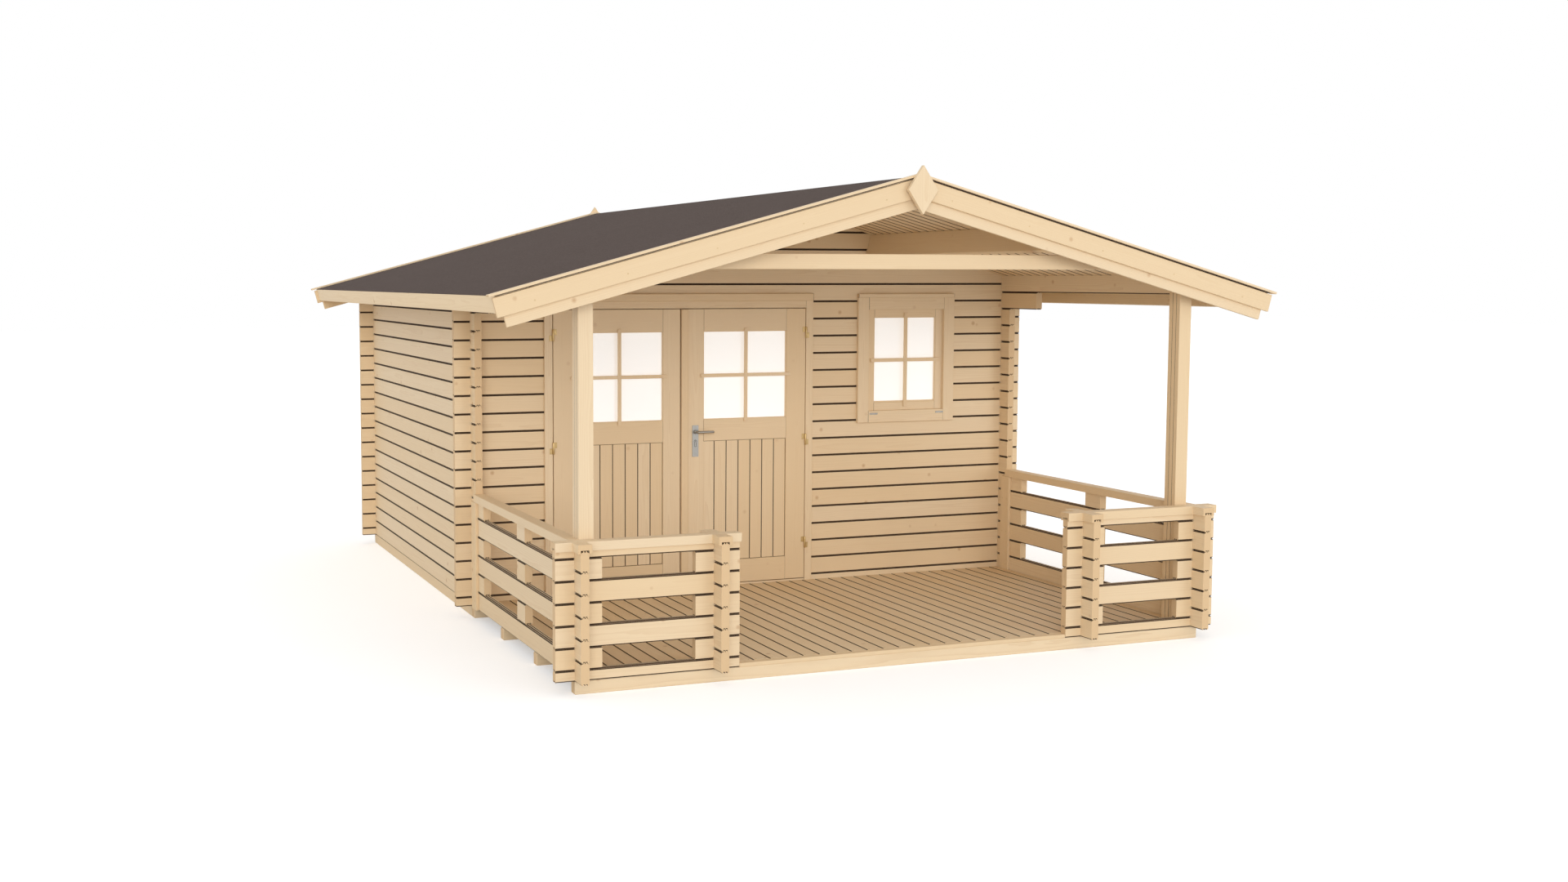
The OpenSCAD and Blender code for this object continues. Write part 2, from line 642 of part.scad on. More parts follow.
// handrail section: a flat top with a groove that grips the railing's top log
module cap_outline() difference() {
    translate([-cap_side, -cap_grip]) square([log_thick + 2 * cap_side, cap_height]);
    translate([-slop / 2, -cap_grip - past]) square([log_thick + slop, cap_grip + past]);
}
module cap_y(x, y0, y1) translate([x, y1, rail_top]) rotate([90, 0, 0])
    linear_extrude(y1 - y0) cap_outline();
module side_handrails() color("burlywood") place() both() difference() {
    cap_y(inner, rail_back + cap_side, -log_end);
    box(inner - post_width, inner + slop / 2, rail_back + post_setback - slop,
        rail_back + post_setback + post_depth + slop, cap_bottom - past, rail_top + cap_height);
}
module front_handrails() color("burlywood") place() both() difference() {
    union() {
        translate([entrance_half - cap_lap, rail_front, rail_top]) rotate([90, 0, 90])
            linear_extrude(half + log_end + 2 * cap_lap - entrance_half) cap_outline();
        cap_y(inner, side_front - cap_lap, rail_front - cap_side);
        cap_y(crossing, side_front - cap_lap, rail_front - cap_side);
        cap_y(crossing, rail_back + cap_side, rail_back + log_end + cap_lap);
    }
    for (x = [crossing, inner])
        box(x - slop / 2, x + log_thick + slop / 2, side_front - log_end,
            rail_back + 2 * log_end, cap_bottom - past, rail_top);
}
module railing_battens() color("burlywood") place() both() for (x = [inner - batten_thick, half])
    translate([x, -log_end - batten_width / 2 - batten_shift, 0])
        box(0, batten_thick, 0, batten_width, x > inner ? 0 : deck_thick, cap_bottom - floor_gap);

side_bearers();
cabin_bearers();
deck_bearers();
cabin_floor();
veranda_deck();
left_wall();
right_wall();
back_wall();
front_wall_left();
front_wall_right();
front_gable();
eaves_purlins();
middle_purlins();
tie_beam();
posts();
roof_boards_left();
roof_boards_right();
roofing_felt();
eaves_boards();
verge_inner();
verge_outer();
verge_laths();
gable_diamonds();
door_frame();
left_leaf();
right_leaf();
left_pane();
right_pane();
cover_strip();
frame_hinges();
left_hinges();
right_hinges();
lock_plates();
lever_handle();
window_casing();
window_sash();
window_pane();
left_railing();
right_railing();
front_railing_left();
front_railing_right();
railing_crossings();
side_handrails();
front_handrails();
railing_battens();
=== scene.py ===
"""Garden house: logs, boards, joinery and fittings of a log cabin with a railed veranda."""

import json
import math
import random
import zlib

import bmesh
import bpy
from bpy.props import FloatProperty, FloatVectorProperty, IntProperty, PointerProperty
from bpy.types import Operator, Panel, PropertyGroup
from mathutils import Matrix, Vector


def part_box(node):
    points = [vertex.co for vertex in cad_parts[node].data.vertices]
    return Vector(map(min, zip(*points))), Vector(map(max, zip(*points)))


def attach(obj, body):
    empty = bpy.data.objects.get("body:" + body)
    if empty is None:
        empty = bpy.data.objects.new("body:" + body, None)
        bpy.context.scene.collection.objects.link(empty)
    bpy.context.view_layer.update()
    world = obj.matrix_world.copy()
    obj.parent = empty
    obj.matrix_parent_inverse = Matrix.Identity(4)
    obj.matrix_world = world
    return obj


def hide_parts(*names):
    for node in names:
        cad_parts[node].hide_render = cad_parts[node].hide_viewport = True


bl_info = {
    "name": "Garden house",
    "version": (1, 0, 0),
    "blender": (4, 5, 0),
    "location": "3D View > Sidebar > Garden house",
    "description": "Builds the logs, boards, joinery and fittings of a garden house",
    "category": "Object",
}

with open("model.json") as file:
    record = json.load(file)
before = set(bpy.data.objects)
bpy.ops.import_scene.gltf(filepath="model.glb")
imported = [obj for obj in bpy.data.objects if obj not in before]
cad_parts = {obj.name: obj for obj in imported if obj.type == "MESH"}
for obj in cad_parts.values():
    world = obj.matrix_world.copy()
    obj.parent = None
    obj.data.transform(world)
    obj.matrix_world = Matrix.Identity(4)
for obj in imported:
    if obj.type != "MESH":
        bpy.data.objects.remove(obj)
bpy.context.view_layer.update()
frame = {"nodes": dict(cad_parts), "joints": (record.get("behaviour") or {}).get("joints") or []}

X = Vector((1, 0, 0))
Y = Vector((0, 1, 0))
Z = Vector((0, 0, 1))


# ---------------------------------------------------------------- places, from the frame

def lowest(node):
    """The lowest corner of a piece of the frame."""
    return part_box(node)[0]


def highest(node):
    """The highest corner of a piece of the frame."""
    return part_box(node)[1]


OUTER = highest("right_wall").x
INNER = lowest("right_wall").x
THICK = OUTER - INNER
FRONT = lowest("front_wall_left").y
BACK = highest("back_wall").y
HOUSE_BACK = highest("right_wall").y
LOG_END = HOUSE_BACK - BACK
GROUND = lowest("right_wall").z
EAVES_COURSE = 17
COVER = (lowest("eaves_purlins").z - GROUND) / EAVES_COURSE
RAIL_FRONT = lowest("front_railing_right").y
RAIL_BACK = highest("front_railing_right").y
STUB_FRONT = lowest("railing_crossings").y
ENTRANCE = lowest("front_railing_right").x
CROSSING = ENTRANCE + LOG_END
RAIL_COURSES = 6
RAIL_TOP = GROUND + RAIL_COURSES * COVER
RIDGE = highest("front_gable").z
DECK_TOP = highest("veranda_deck").z
OPENING_TOP = 16.5
# GLUE_LINE also picks the post faces that get painted shade.
GLUE_LINE = (0.0006, 0.003)   # how deep the joints between a post's layers lie
FAR = 4.0                     # past the house on every side, for tools that cut
LINING_PLAY = 0.0005          # between a frame's lining and the logs beside it
CAP_CLEARANCE = 0.001         # between a top log's tongues and the handrail
SPINDLE_BORE = 0.006          # radius of the bore that the lever's spindle turns in
SMOOTH_BELOW = math.radians(35)


def course(count):
    """The height of a joint between logs, counted from the lowest log."""
    return GROUND + count * COVER


# ---------------------------------------------------------------- sizes and colours

def linear(code):
    """An sRGB hex colour as linear red, green and blue."""
    parts = [int(code[i:i + 2], 16) / 255 for i in (1, 3, 5)]
    return tuple(c / 12.92 if c <= 0.04045 else ((c + 0.055) / 1.055) ** 2.4 for c in parts)


def length(name, description, default, **extra):
    """A length in metres that a user can change."""
    return FloatProperty(name=name, description=description, default=default, min=0.0,
                         unit="LENGTH", precision=4, **extra)


def colour(name, description, code):
    """A colour that a user can change."""
    return FloatVectorProperty(name=name, description=description, default=linear(code),
                               size=3, min=0.0, max=1.0, subtype="COLOR")


class LogSizes(PropertyGroup):
    """The section of a wall log."""
    groove: length("Groove", "Height and depth of the bevel on each long edge of a log", 0.0066)
    shoulder_gap: length("Shoulder gap", "Open joint between two logs behind the bevels", 0.003)
    tongue_foot: length("Tongue foot", "Half the width of a tongue where it leaves the log", 0.0045)
    tongue_tip: length("Tongue tip", "Half the width of a tongue at its tip", 0.0032)
    tongue_height: length("Tongue height", "How far a tongue stands up", 0.007)
    tongue_play: length("Tongue play", "Clearance of a tongue in its groove", 0.0014)
    notch_play: length("Notch play", "Clearance of a crossing log in its notch", 0.0004)


class BoardSizes(PropertyGroup):
    """Boards, and how their edges are eased."""
    ease: length("Eased edge", "Chamfer on the edges of a planed board", 0.0016)
    rough_ease: length("Sawn edge", "Chamfer on the edges of a bearer or beam", 0.003)
    deck_pitch: length("Deck board pitch", "Middle to middle of two deck boards", 0.0966)
    deck_gap: length("Deck gap", "Open gap between two deck boards", 0.0055)
    deck_ease: length("Deck board edge", "Chamfer on the edges of a deck board", 0.0035)
    roof_pitch: length("Roof board pitch", "Width one roof board covers", 0.0965)
    roof_groove: length("Roof board groove", "Bevel on the lower edges of a roof board", 0.009)
    floor_pitch: length("Floor board pitch", "Width one floor board covers", 0.0965)
    floor_gap: length("Floor joint", "Open joint between two floor boards", 0.0006)
    screw_radius: length("Screw head", "Radius of a countersunk screw head", 0.0042)


class RailingSizes(PropertyGroup):
    """The veranda's railing and handrails."""
    cap_top: length("Handrail top", "Thickness of a handrail above the railing", 0.029)
    cap_side: length("Handrail side", "Thickness of a handrail beside the railing", 0.015)
    cap_grip: length("Handrail grip", "How far a handrail reaches down over the railing", 0.017)
    cap_lap: length("Handrail lap", "How far a handrail runs past the end of a log", 0.004)
    cap_play: length("Handrail play", "Clearance of a log in a handrail's groove", 0.0005)
    middle_block: length("Middle block", "Length of the block in a side railing's middle", 0.156)
    middle_shift: length("Middle shift", "How far that block sits towards the front", 0.011)
    wall_block: length("Wall block", "Length of the blocks beside the wall", 0.184)


class RoofSizes(PropertyGroup):
    """The roof."""
    slope: FloatProperty(name="Slope", description="Slope of the roof",
                         default=math.radians(15), min=0.1, max=0.5, subtype="ANGLE")
    board_seat: length("Board seat", "Gap between the roof boards and what carries them", 0.0002)
    board_thickness: length("Board thickness", "Thickness of the roof boards", 0.016)
    pocket_play: length("Pocket play", "Clearance of a purlin in the gable logs", 0.0005)


class DoorSizes(PropertyGroup):
    """The double door."""
    frame_face: length("Frame face", "Width of the frame beside a leaf", 0.052)
    frame_front: length("Frame front", "Thickness of the frame in front of the logs", 0.016)
    frame_lap: length("Frame lap", "How far the frame laps over the logs", 0.02)
    frame_stop: length("Frame stop", "How far the stop stands in behind the leaves", 0.015)
    drip_height: length("Drip board", "Height of the board over the frame", 0.046)
    drip_thickness: length("Drip board thickness", "Thickness of the board over the frame", 0.024)
    leaf_thickness: length("Leaf thickness", "Thickness of a leaf", 0.04)
    leaf_gap: length("Leaf gap", "Gap round a leaf", 0.005)
    hinge_stile: length("Hinge stile", "Width of a stile that carries hinges", 0.138)
    left_meeting: length("Left meeting stile", "Width of the left leaf's inner stile", 0.118)
    right_meeting: length("Right meeting stile", "Width of the right leaf's inner stile", 0.157)
    glass_top: length("Glass top", "Top of the panes above the lowest log's underside", 1.692)
    glass_bottom: length("Glass bottom", "Bottom of the panes", 1.12)
    panel_top: length("Panel top", "Top of the boarded panels", 0.98)
    panel_bottom: length("Panel bottom", "Bottom of the boarded panels", 0.189)
    panel_recess: length("Panel recess", "How far the boarded panels lie back", 0.009)
    panel_pitch: length("Panel board pitch", "Width one panel board covers", 0.0852)
    panel_groove: length("Panel groove", "Bevel on the edges of a panel board", 0.003)
    pane_thickness: length("Pane", "Thickness of the panes", 0.004)
    bead: length("Glazing bead", "Width of the bead that holds a pane", 0.004)
    bar_width: length("Bar width", "Width of a glazing bar", 0.022)
    bar_thickness: length("Bar thickness", "How far a glazing bar stands proud", 0.012)
    bar_lap_side: length("Bar lap, level", "How far a level bar runs over the stiles", 0.024)
    bar_lap_end: length("Bar lap, upright", "How far an upright bar runs over the rails", 0.019)


class WindowSizes(PropertyGroup):
    """The window."""
    face: length("Casing side", "Width of the casing's sides", 0.08)
    head: length("Casing head", "Height of the casing's top", 0.08)
    sill: length("Casing sill", "Height of the casing's bottom", 0.078)
    front: length("Casing front", "Thickness of the casing in front of the logs", 0.024)
    drip: length("Drip board", "Height of the board over the casing", 0.025)
    lap: length("Casing lap", "How far the casing laps over the logs at its sides", 0.034)
    sill_lap: length("Sill lap", "How far the casing laps over the logs at its bottom", 0.019)
    stile: length("Sash stile", "Width of the sash's sides", 0.053)
    top_rail: length("Sash top", "Height of the sash's top", 0.053)
    bottom_rail: length("Sash bottom", "Height of the sash's bottom", 0.053)
    thickness: length("Sash thickness", "Thickness of the sash", 0.04)
    bar_width: length("Bar width", "Width of a glazing bar", 0.024)
    bar_lap_side: length("Bar lap, level", "How far the level bar runs over the stiles", 0.03)
    bar_lap_end: length("Bar lap, upright", "How far the upright bar runs over the rails", 0.029)
    low_bead: length("Lower bead", "Height of the bead under the pane", 0.011)
    clip_width: length("Clip width", "Width of the metal clips on the sill", 0.06)
    clip_drop: length("Clip drop", "Top of the clips below the sash", 0.014)
    clip_height: length("Clip height", "Height of the metal clips on the sill", 0.011)


class FittingSizes(PropertyGroup):
    """Lock, lever and hinges."""
    lever_radius: length("Lever radius", "Radius of the lever's grip", 0.008)
    lever_bend: length("Lever bend", "Radius of the bend between neck and grip", 0.016)
    boss_radius: length("Boss radius", "Radius of the collar the lever turns in", 0.013)
    boss_length: length("Boss length", "Length of that collar", 0.008)
    plate_corner: length("Plate corner", "Radius of the lock plates' corners", 0.003)
    keyhole_drop: length("Keyhole drop", "Round of the lock cylinder below the lever", 0.062)
    cylinder_radius: length("Cylinder radius", "Radius of the lock cylinder's round part", 0.0075)
    cylinder_height: length("Cylinder height", "Height of the lock cylinder", 0.042)
    cylinder_gap: length("Cylinder gap", "Dark gap round the lock cylinder", 0.0024)
    segments: IntProperty(name="Segments", description="Sides of a turned part",
                          default=32, min=8, max=64)


class Finishes(PropertyGroup):
    """Colours of the house."""
    spruce: colour("Spruce", "Planed spruce, early wood", "#EBD4B1")
    spruce_late: colour("Late wood", "Planed spruce, late wood", "#DDC099")
    spruce_warm: colour("Warm spruce", "The warmest boards", "#E5C89D")
    spruce_end: colour("End grain", "Sawn ends of logs and boards", "#DDBD92")
    # Painted shade: the dark brown of the bevels between logs and boards, the undersides of logs
    # and the posts' glue lines.
    spruce_painted_shade: colour("Joint", "Bevels in the shade between logs", "#4B3825")
    knot: colour("Knot", "Small sound knots", "#B98A59")
    felt: colour("Felt", "Mineral grains of the roofing felt", "#5B4F4A")
    glass: colour("Glass", "White satin glass", "#FBFBFA")
    aluminium: colour("Aluminium", "Satin anodised aluminium", "#A3A19C")
    zinc: colour("Yellow zinc", "Yellow zinc-plated steel", "#CBB07E")
    floor: colour("Studio floor", "Pale floor of the studio", "#F4F4F4")


class GardenHouse(PropertyGroup):
    """All sizes and colours of the garden house."""
    logs: PointerProperty(type=LogSizes)
    boards: PointerProperty(type=BoardSizes)
    railing: PointerProperty(type=RailingSizes)
    roof: PointerProperty(type=RoofSizes)
    door: PointerProperty(type=DoorSizes)
    window: PointerProperty(type=WindowSizes)
    fittings: PointerProperty(type=FittingSizes)
    finishes: PointerProperty(type=Finishes)


def house():
    """The sizes and colours as they are set."""
    return bpy.context.scene.garden_house


# ---------------------------------------------------------------- materials

def add(tree, kind, inputs=None, **settings):
    """Adds a shader node with its settings, and links or sets its inputs."""
    made = tree.nodes.new("ShaderNode" + kind)
    for name, value in settings.items():
        setattr(made, name, value)
    for name, value in (inputs or {}).items():
        if isinstance(value, bpy.types.NodeSocket):
            tree.links.new(value, made.inputs[name])
        else:
            made.inputs[name].default_value = value
    return made


def blend_colours(tree, factor, first, second):
    """The colour between two colours, each a socket or a value."""
    full = [c if isinstance(c, bpy.types.NodeSocket) else (*c, 1) for c in (first, second)]
    return add(tree, "Mix", {0: factor, 6: full[0], 7: full[1]}, data_type="RGBA").outputs[2]


def ramp(tree, value, start, end):
    """0 at start, 1 at end, straight between."""
    return add(tree, "MapRange", {0: value, 1: start, 2: end, 3: 0.0, 4: 1.0}).outputs[0]


def start_material(name):
    """A named material with an empty node tree."""
    material = bpy.data.materials.new(name)
    material.use_nodes = True
    material.node_tree.nodes.clear()
    return material


def surface(tree, **inputs):
    """The finish: a principled surface, joined to the material's output."""
    named = {key.replace("_", " ").title().replace("Ior", "IOR"): value
             for key, value in inputs.items()}
    shader = add(tree, "BsdfPrincipled", named)
    add(tree, "OutputMaterial", {"Surface": shader.outputs[0]})
    return shader


WAVE_LENGTH = math.pi / 10   # metres between the rings of a wave texture of scale 1


def spruce(name, early, late, warm, ring=0.007, relief=0.00035, knots=1.0, roughness=0.58):
    """Planed spruce: pale early wood, thin darker late wood in long wavering lines, a few
    small knots, and boards that differ a little in warmth. Rings are 2 to 3 mm apart on the
    real wood and are drawn 7 mm apart so that they show."""
    material = start_material(name)
    tree = material.node_tree
    grain = add(tree, "Attribute", attribute_name="grain").outputs["Vector"]
    tone = add(tree, "Attribute", attribute_name="tone").outputs["Fac"]
    long = add(tree, "VectorMath", {0: grain, 1: (0.1, 1, 1)}, operation="MULTIPLY").outputs[0]
    waver = add(tree, "TexNoise", {"Vector": long, "Scale": 11.0, "Detail": 3.0})
    off = add(tree, "VectorMath", {0: waver.outputs["Color"], 1: (0.5, 0.5, 0.5)},
              operation="SUBTRACT").outputs[0]
    off = add(tree, "VectorMath", {0: off, "Scale": 0.03}, operation="SCALE").outputs[0]
    bent = add(tree, "VectorMath", {0: long, 1: off}, operation="ADD").outputs[0]
    rings = add(tree, "TexWave", {"Vector": bent, "Scale": WAVE_LENGTH / ring},
                wave_type="RINGS", rings_direction="X", wave_profile="SAW").outputs["Fac"]
    fibre_place = add(tree, "VectorMath", {0: grain, 1: (14, 900, 900)},
                      operation="MULTIPLY").outputs[0]
    fibre = add(tree, "TexNoise", {"Vector": fibre_place, "Scale": 1.0, "Detail": 2.0})
    late_part = add(tree, "Math", {0: rings, 1: 2.5}, operation="POWER").outputs[0]
    late_part = add(tree, "Math", {0: late_part, 1: fibre.outputs["Fac"]},
                    operation="MULTIPLY").outputs[0]
    wood = blend_colours(tree, late_part, early, late)
    warmth = add(tree, "Math", {0: tone, 1: 0.7}, operation="MULTIPLY").outputs[0]
    wood = blend_colours(tree, warmth, wood, warm)
    spots = add(tree, "TexVoronoi", {"Vector": grain, "Scale": 5.5}).outputs["Distance"]
    knot = ramp(tree, spots, 0.1, 0.03)
    knot = add(tree, "Math", {0: knot, 1: 0.6 * knots}, operation="MULTIPLY").outputs[0]
    wood = blend_colours(tree, knot, wood, house().finishes.knot)
    height = add(tree, "Math", {0: fibre.outputs["Fac"], 1: rings}, operation="ADD").outputs[0]
    bump = add(tree, "Bump", {"Strength": 0.5, "Distance": relief, "Height": height})
    surface(tree, base_color=wood, roughness=roughness, normal=bump.outputs[0], ior=1.5)
    return material


def sawn_ends():
    """Sawn end grain: a little darker than the faces, with the growth rings showing as arcs."""
    finishes = house().finishes
    return spruce("sawn_spruce_ends", finishes.spruce_end, finishes.spruce_late,
                  finishes.spruce_end, ring=0.006, relief=0.0005, knots=0.0, roughness=0.75)


def painted_shade_wood():
    """Painted shade: the same planed wood in a dark brown, on the bevels where logs and boards
    meet, on the undersides of logs and in the posts' glue lines, for the shade that falls there."""
    finishes = house().finishes
    return spruce("planed_spruce_painted_shade", finishes.spruce_painted_shade, finishes.spruce_painted_shade,
                  finishes.spruce_painted_shade, knots=0.0, roughness=0.8)


def log_wood():
    """Machine-planed spruce logs: pale, matt, with faint long grain."""
    finishes = house().finishes
    return spruce("planed_spruce_logs", finishes.spruce, finishes.spruce_late,
                  finishes.spruce_warm)


def board_wood():
    """Planed spruce boards: as the logs, with finer grain."""
    finishes = house().finishes
    return spruce("planed_spruce_boards", finishes.spruce, finishes.spruce_late,
                  finishes.spruce_warm, ring=0.0055)


def joinery_wood():
    """Finely planed and sanded spruce of the door and window: the smoothest of the wood."""
    finishes = house().finishes
    return spruce("sanded_spruce_joinery", finishes.spruce, finishes.spruce_late,
                  finishes.spruce_warm, ring=0.005, relief=0.0002, knots=0.4, roughness=0.5)


def bearer_wood():
    """Rough planed bearers: coarser fibres that scatter light."""
    finishes = house().finishes
    return spruce("rough_spruce_bearers", finishes.spruce, finishes.spruce_late,
                  finishes.spruce_warm, ring=0.008, relief=0.0009, roughness=0.75)


def roofing_felt():
    """Bitumen felt dressed with mineral grains: dull and speckled, with no gloss. The grains
    are about 1.5 mm on the real felt and are drawn 4 mm across so that they show."""
    material = start_material("mineral_bitumen_felt")
    tree = material.node_tree
    place = add(tree, "TexCoord").outputs["Object"]
    grains = add(tree, "TexVoronoi", {"Vector": place, "Scale": 1 / 0.004})
    shade = add(tree, "SeparateColor", {0: grains.outputs["Color"]}).outputs[0]
    clouds = add(tree, "TexNoise", {"Vector": place, "Scale": 2.2, "Detail": 3.0})
    base = Vector(house().finishes.felt)
    speckle = blend_colours(tree, shade, tuple(base * 0.72), tuple(base * 1.3))
    mix = ramp(tree, clouds.outputs["Fac"], 0.35, 0.65)
    mix = add(tree, "Math", {0: mix, 1: 0.16}, operation="MULTIPLY").outputs[0]
    felt = blend_colours(tree, mix, speckle, tuple(base * 0.8))
    bump = add(tree, "Bump", {"Strength": 0.6, "Distance": 0.0012,
                              "Height": grains.outputs["Distance"]})
    surface(tree, base_color=felt, roughness=0.93, specular_ior_level=0.08,
            normal=bump.outputs[0])
    return material


def satin_glass():
    """White satin glass: a milky pane that lets light through but no view, with a soft gloss.
    Its faint glow stands for the light that comes through from the other side."""
    material = start_material("white_satin_glass")
    tree = material.node_tree
    place = add(tree, "TexCoord").outputs["Object"]
    waves = add(tree, "TexNoise", {"Vector": place, "Scale": 3.0, "Detail": 1.0})
    bump = add(tree, "Bump", {"Strength": 0.15, "Distance": 0.0006,
                              "Height": waves.outputs["Fac"]})
    surface(tree, base_color=(*house().finishes.glass, 1), roughness=0.28, ior=1.52,
            normal=bump.outputs[0], emission_color=(1, 1, 1, 1), emission_strength=0.28)
    return material


def brushed_metal(name, tint, roughness, grit):
    """A metal with fine marks in it, which stretch its highlights."""
    material = start_material(name)
    tree = material.node_tree
    place = add(tree, "TexCoord").outputs["Object"]
    marks = add(tree, "TexNoise", {"Vector": place, "Scale": grit, "Detail": 2.0})
    rough = add(tree, "MapRange", {0: marks.outputs["Fac"], 3: roughness - 0.07,
                                   4: roughness + 0.1}).outputs[0]
    bump = add(tree, "Bump", {"Strength": 0.25, "Distance": 0.0002,
                              "Height": marks.outputs["Fac"]})
    surface(tree, base_color=(*tint, 1), metallic=1.0, roughness=rough, normal=bump.outputs[0])
    return material


def satin_aluminium():
    """Satin anodised aluminium: soft even gloss on the lever and its plates."""
    return brushed_metal("satin_anodised_aluminium", house().finishes.aluminium, 0.34, 900.0)


def zinc_steel():
    """Yellow zinc-plated steel: a pale brass tone, a little mottled, on hinges and screws."""
    return brushed_metal("yellow_zinc_plated_steel", house().finishes.zinc, 0.42, 260.0)


def lock_painted_shade():
    """The inside of the lock as painted shade: a near-black finish in the gap round the lock
    cylinder and in its keyway, where shade falls.
    """
    return brushed_metal("lock_slot_painted_shade", linear("#1B1A19"), 0.5, 400.0)


MAKERS = {"logs": log_wood, "boards": board_wood, "joinery": joinery_wood,
          "bearers": bearer_wood, "ends": sawn_ends, "joint": painted_shade_wood,
          "felt": roofing_felt, "glass": satin_glass, "aluminium": satin_aluminium,
          "zinc": zinc_steel, "slot": lock_painted_shade}
made_materials = {}


def finish(name):
    """The material of that name, made once."""
    if name not in made_materials:
        made_materials[name] = MAKERS[name]()
    return made_materials[name]


# ---------------------------------------------------------------- shaping

def prism(bm, outline, origin, across, up, run):
    """A solid with a flat outline of (across, up) points, drawn out along run."""
    verts = [bm.verts.new(origin + across * a + up * b) for a, b in outline]
    face = bm.faces.new(verts)
    made = bmesh.ops.extrude_face_region(bm, geom=[face])
    moved = [g for g in made["geom"] if isinstance(g, bmesh.types.BMVert)]
    bmesh.ops.translate(bm, vec=run, verts=moved)


def block(bm, low, high):
    """A plain box, for tools that cut and for what is shaped further."""
    low, high = Vector(low), Vector(high)
    verts = bmesh.ops.create_cube(bm, size=1)["verts"]
    bmesh.ops.scale(bm, vec=high - low, verts=verts)
    bmesh.ops.translate(bm, vec=(low + high) / 2, verts=verts)
    return verts


def board(bm, low, high, ease=None, segments=1):
    """A planed board with eased edges."""
    verts = block(bm, low, high)
    edges = list({e for v in verts for e in v.link_edges})
    bmesh.ops.bevel(bm, geom=edges, offset=ease or house().boards.ease, segments=segments,
                    profile=0.5, affect="EDGES", material=-1)


def islands(bm):
    """The separate solids of a mesh, as lists of vertices, from the lowest corner up."""
    left = set(bm.verts)
    found = []
    while left:
        group, edge_of = [], [left.pop()]
        while edge_of:
            vert = edge_of.pop()
            group.append(vert)
            for edge in vert.link_edges:
                other = edge.other_vert(vert)
                if other in left:
                    left.remove(other)
                    edge_of.append(other)
        found.append(group)
    return sorted(found, key=lambda g: [round(min(v.co[i] for v in g), 4) for i in range(3)]
                  + [round(max(v.co[i] for v in g), 4) for i in range(3)])


def extent(group):
    """The lowest and the highest corner of a solid."""
    return [Vector([pick(v.co[i] for v in group) for i in range(3)]) for pick in (min, max)]


def span(group, direction):
    """The middle and the length of a solid in one direction."""
    values = [v.co.dot(direction) for v in group]
    return (min(values) + max(values)) / 2, max(values) - min(values)


def give_grain(bm, name, run, joints=""):
    """Gives every solid its own place in the tree: coordinates along the grain, across the
    wide side and through the thin side, and a tone from 0 to 1. Sawn ends get material 1,
    and the bevels where solids meet at their "sides" or "ends", or their faces that lie
    "under", get material 2: painted shade, a dark brown for the shade in joints and under
    the logs."""
    grain = bm.verts.layers.float_vector.new("grain")
    tone = bm.verts.layers.float.new("tone")
    chance = random.Random(zlib.crc32(name.encode()))
    bm.normal_update()
    for group in islands(bm):
        centre = sum((v.co for v in group), Vector()) / len(group)
        along = run(centre) if callable(run) else run
        level = Y if abs(along.z) > 0.9 else Z.cross(along).normalized()
        other = along.cross(level)
        if span(group, level)[1] < span(group, other)[1]:
            level, other = other, level
        wide_middle, wide = span(group, level)
        thin_middle = span(group, other)[0]
        pith = chance.choice((-1, 1)) * chance.uniform(0.02, 0.07)
        shift = Vector((chance.uniform(0, 40), chance.uniform(-0.3, 0.3) * wide, pith))
        shade = chance.random()
        for vert in group:
            vert[grain] = Vector((vert.co.dot(along), vert.co.dot(level) - wide_middle,
                                  vert.co.dot(other) - thin_middle)) + shift
            vert[tone] = shade
        for face in {f for v in group for f in v.link_faces}:
            ends = abs(face.normal.dot(along))
            flat = max(abs(face.normal.dot(level)), abs(face.normal.dot(other)))
            # Material 2 is painted shade on joint bevels and undersides.
            if ends > 0.8:
                face.material_index = 1
            elif flat < 0.99 and ("sides" if ends < 0.2 else "ends") in joints:
                face.material_index = 2
            elif "under" in joints and face.normal.z < -0.99:
                face.material_index = 2


def tool_object(bm):
    """A passing object that holds a bmesh for a modifier."""
    mesh = bpy.data.meshes.new("tool")
    bm.to_mesh(mesh)
    bm.free()
    made = bpy.data.objects.new("tool", mesh)
    bpy.context.scene.collection.objects.link(made)
    return made


def carve(bm, cut=None, keep=None):
    """Takes away what lies in cut, and all that lies outside keep."""
    bmesh.ops.recalc_face_normals(bm, faces=bm.faces)
    work = tool_object(bm)
    passing = [work]
    for tool, operation in ((cut, "DIFFERENCE"), (keep, "INTERSECT")):
        if tool is not None:
            bmesh.ops.recalc_face_normals(tool, faces=tool.faces)
            other = tool_object(tool)
            passing.append(other)
            modifier = work.modifiers.new(operation.lower(), "BOOLEAN")
            modifier.object = other
            modifier.operation = operation
            modifier.solver = "EXACT"
    result = bmesh.new()
    result.from_object(work, bpy.context.evaluated_depsgraph_get())
    for each in passing:
        mesh = each.data
        bpy.data.objects.remove(each)
        bpy.data.meshes.remove(mesh)
    return result


def place(name, bm, finishes, slot, body="house", nodes=()):
    """Makes the finished piece, which moves with its body and stands for its nodes."""
    mesh = bpy.data.meshes.new(name)
    bm.to_mesh(mesh)
    bm.free()
    piece = bpy.data.objects.new(name, mesh)
    bpy.context.scene.collection.objects.link(piece)
    for each in finishes:
        mesh.materials.append(finish(each))
    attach(piece, body)
    if nodes:
        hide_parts(*nodes)
    return piece


def place_wood(name, bm, run, kind, slot, body="house", nodes=(), joints=""):
    """A finished piece of wood with its grain along run."""
    bmesh.ops.recalc_face_normals(bm, faces=bm.faces)
    give_grain(bm, name, run, joints)
    # The third finish, "joint", is the painted shade on the faces that joints picks.
    return place(name, bm, (kind, "ends", "joint"), slot, body, nodes)


def node_mesh(node):
    """A merged copy of a node's mesh."""
    bm = bmesh.new()
    bm.from_mesh(frame["nodes"][node].data)
    bmesh.ops.remove_doubles(bm, verts=bm.verts, dist=1e-5)
    return bm


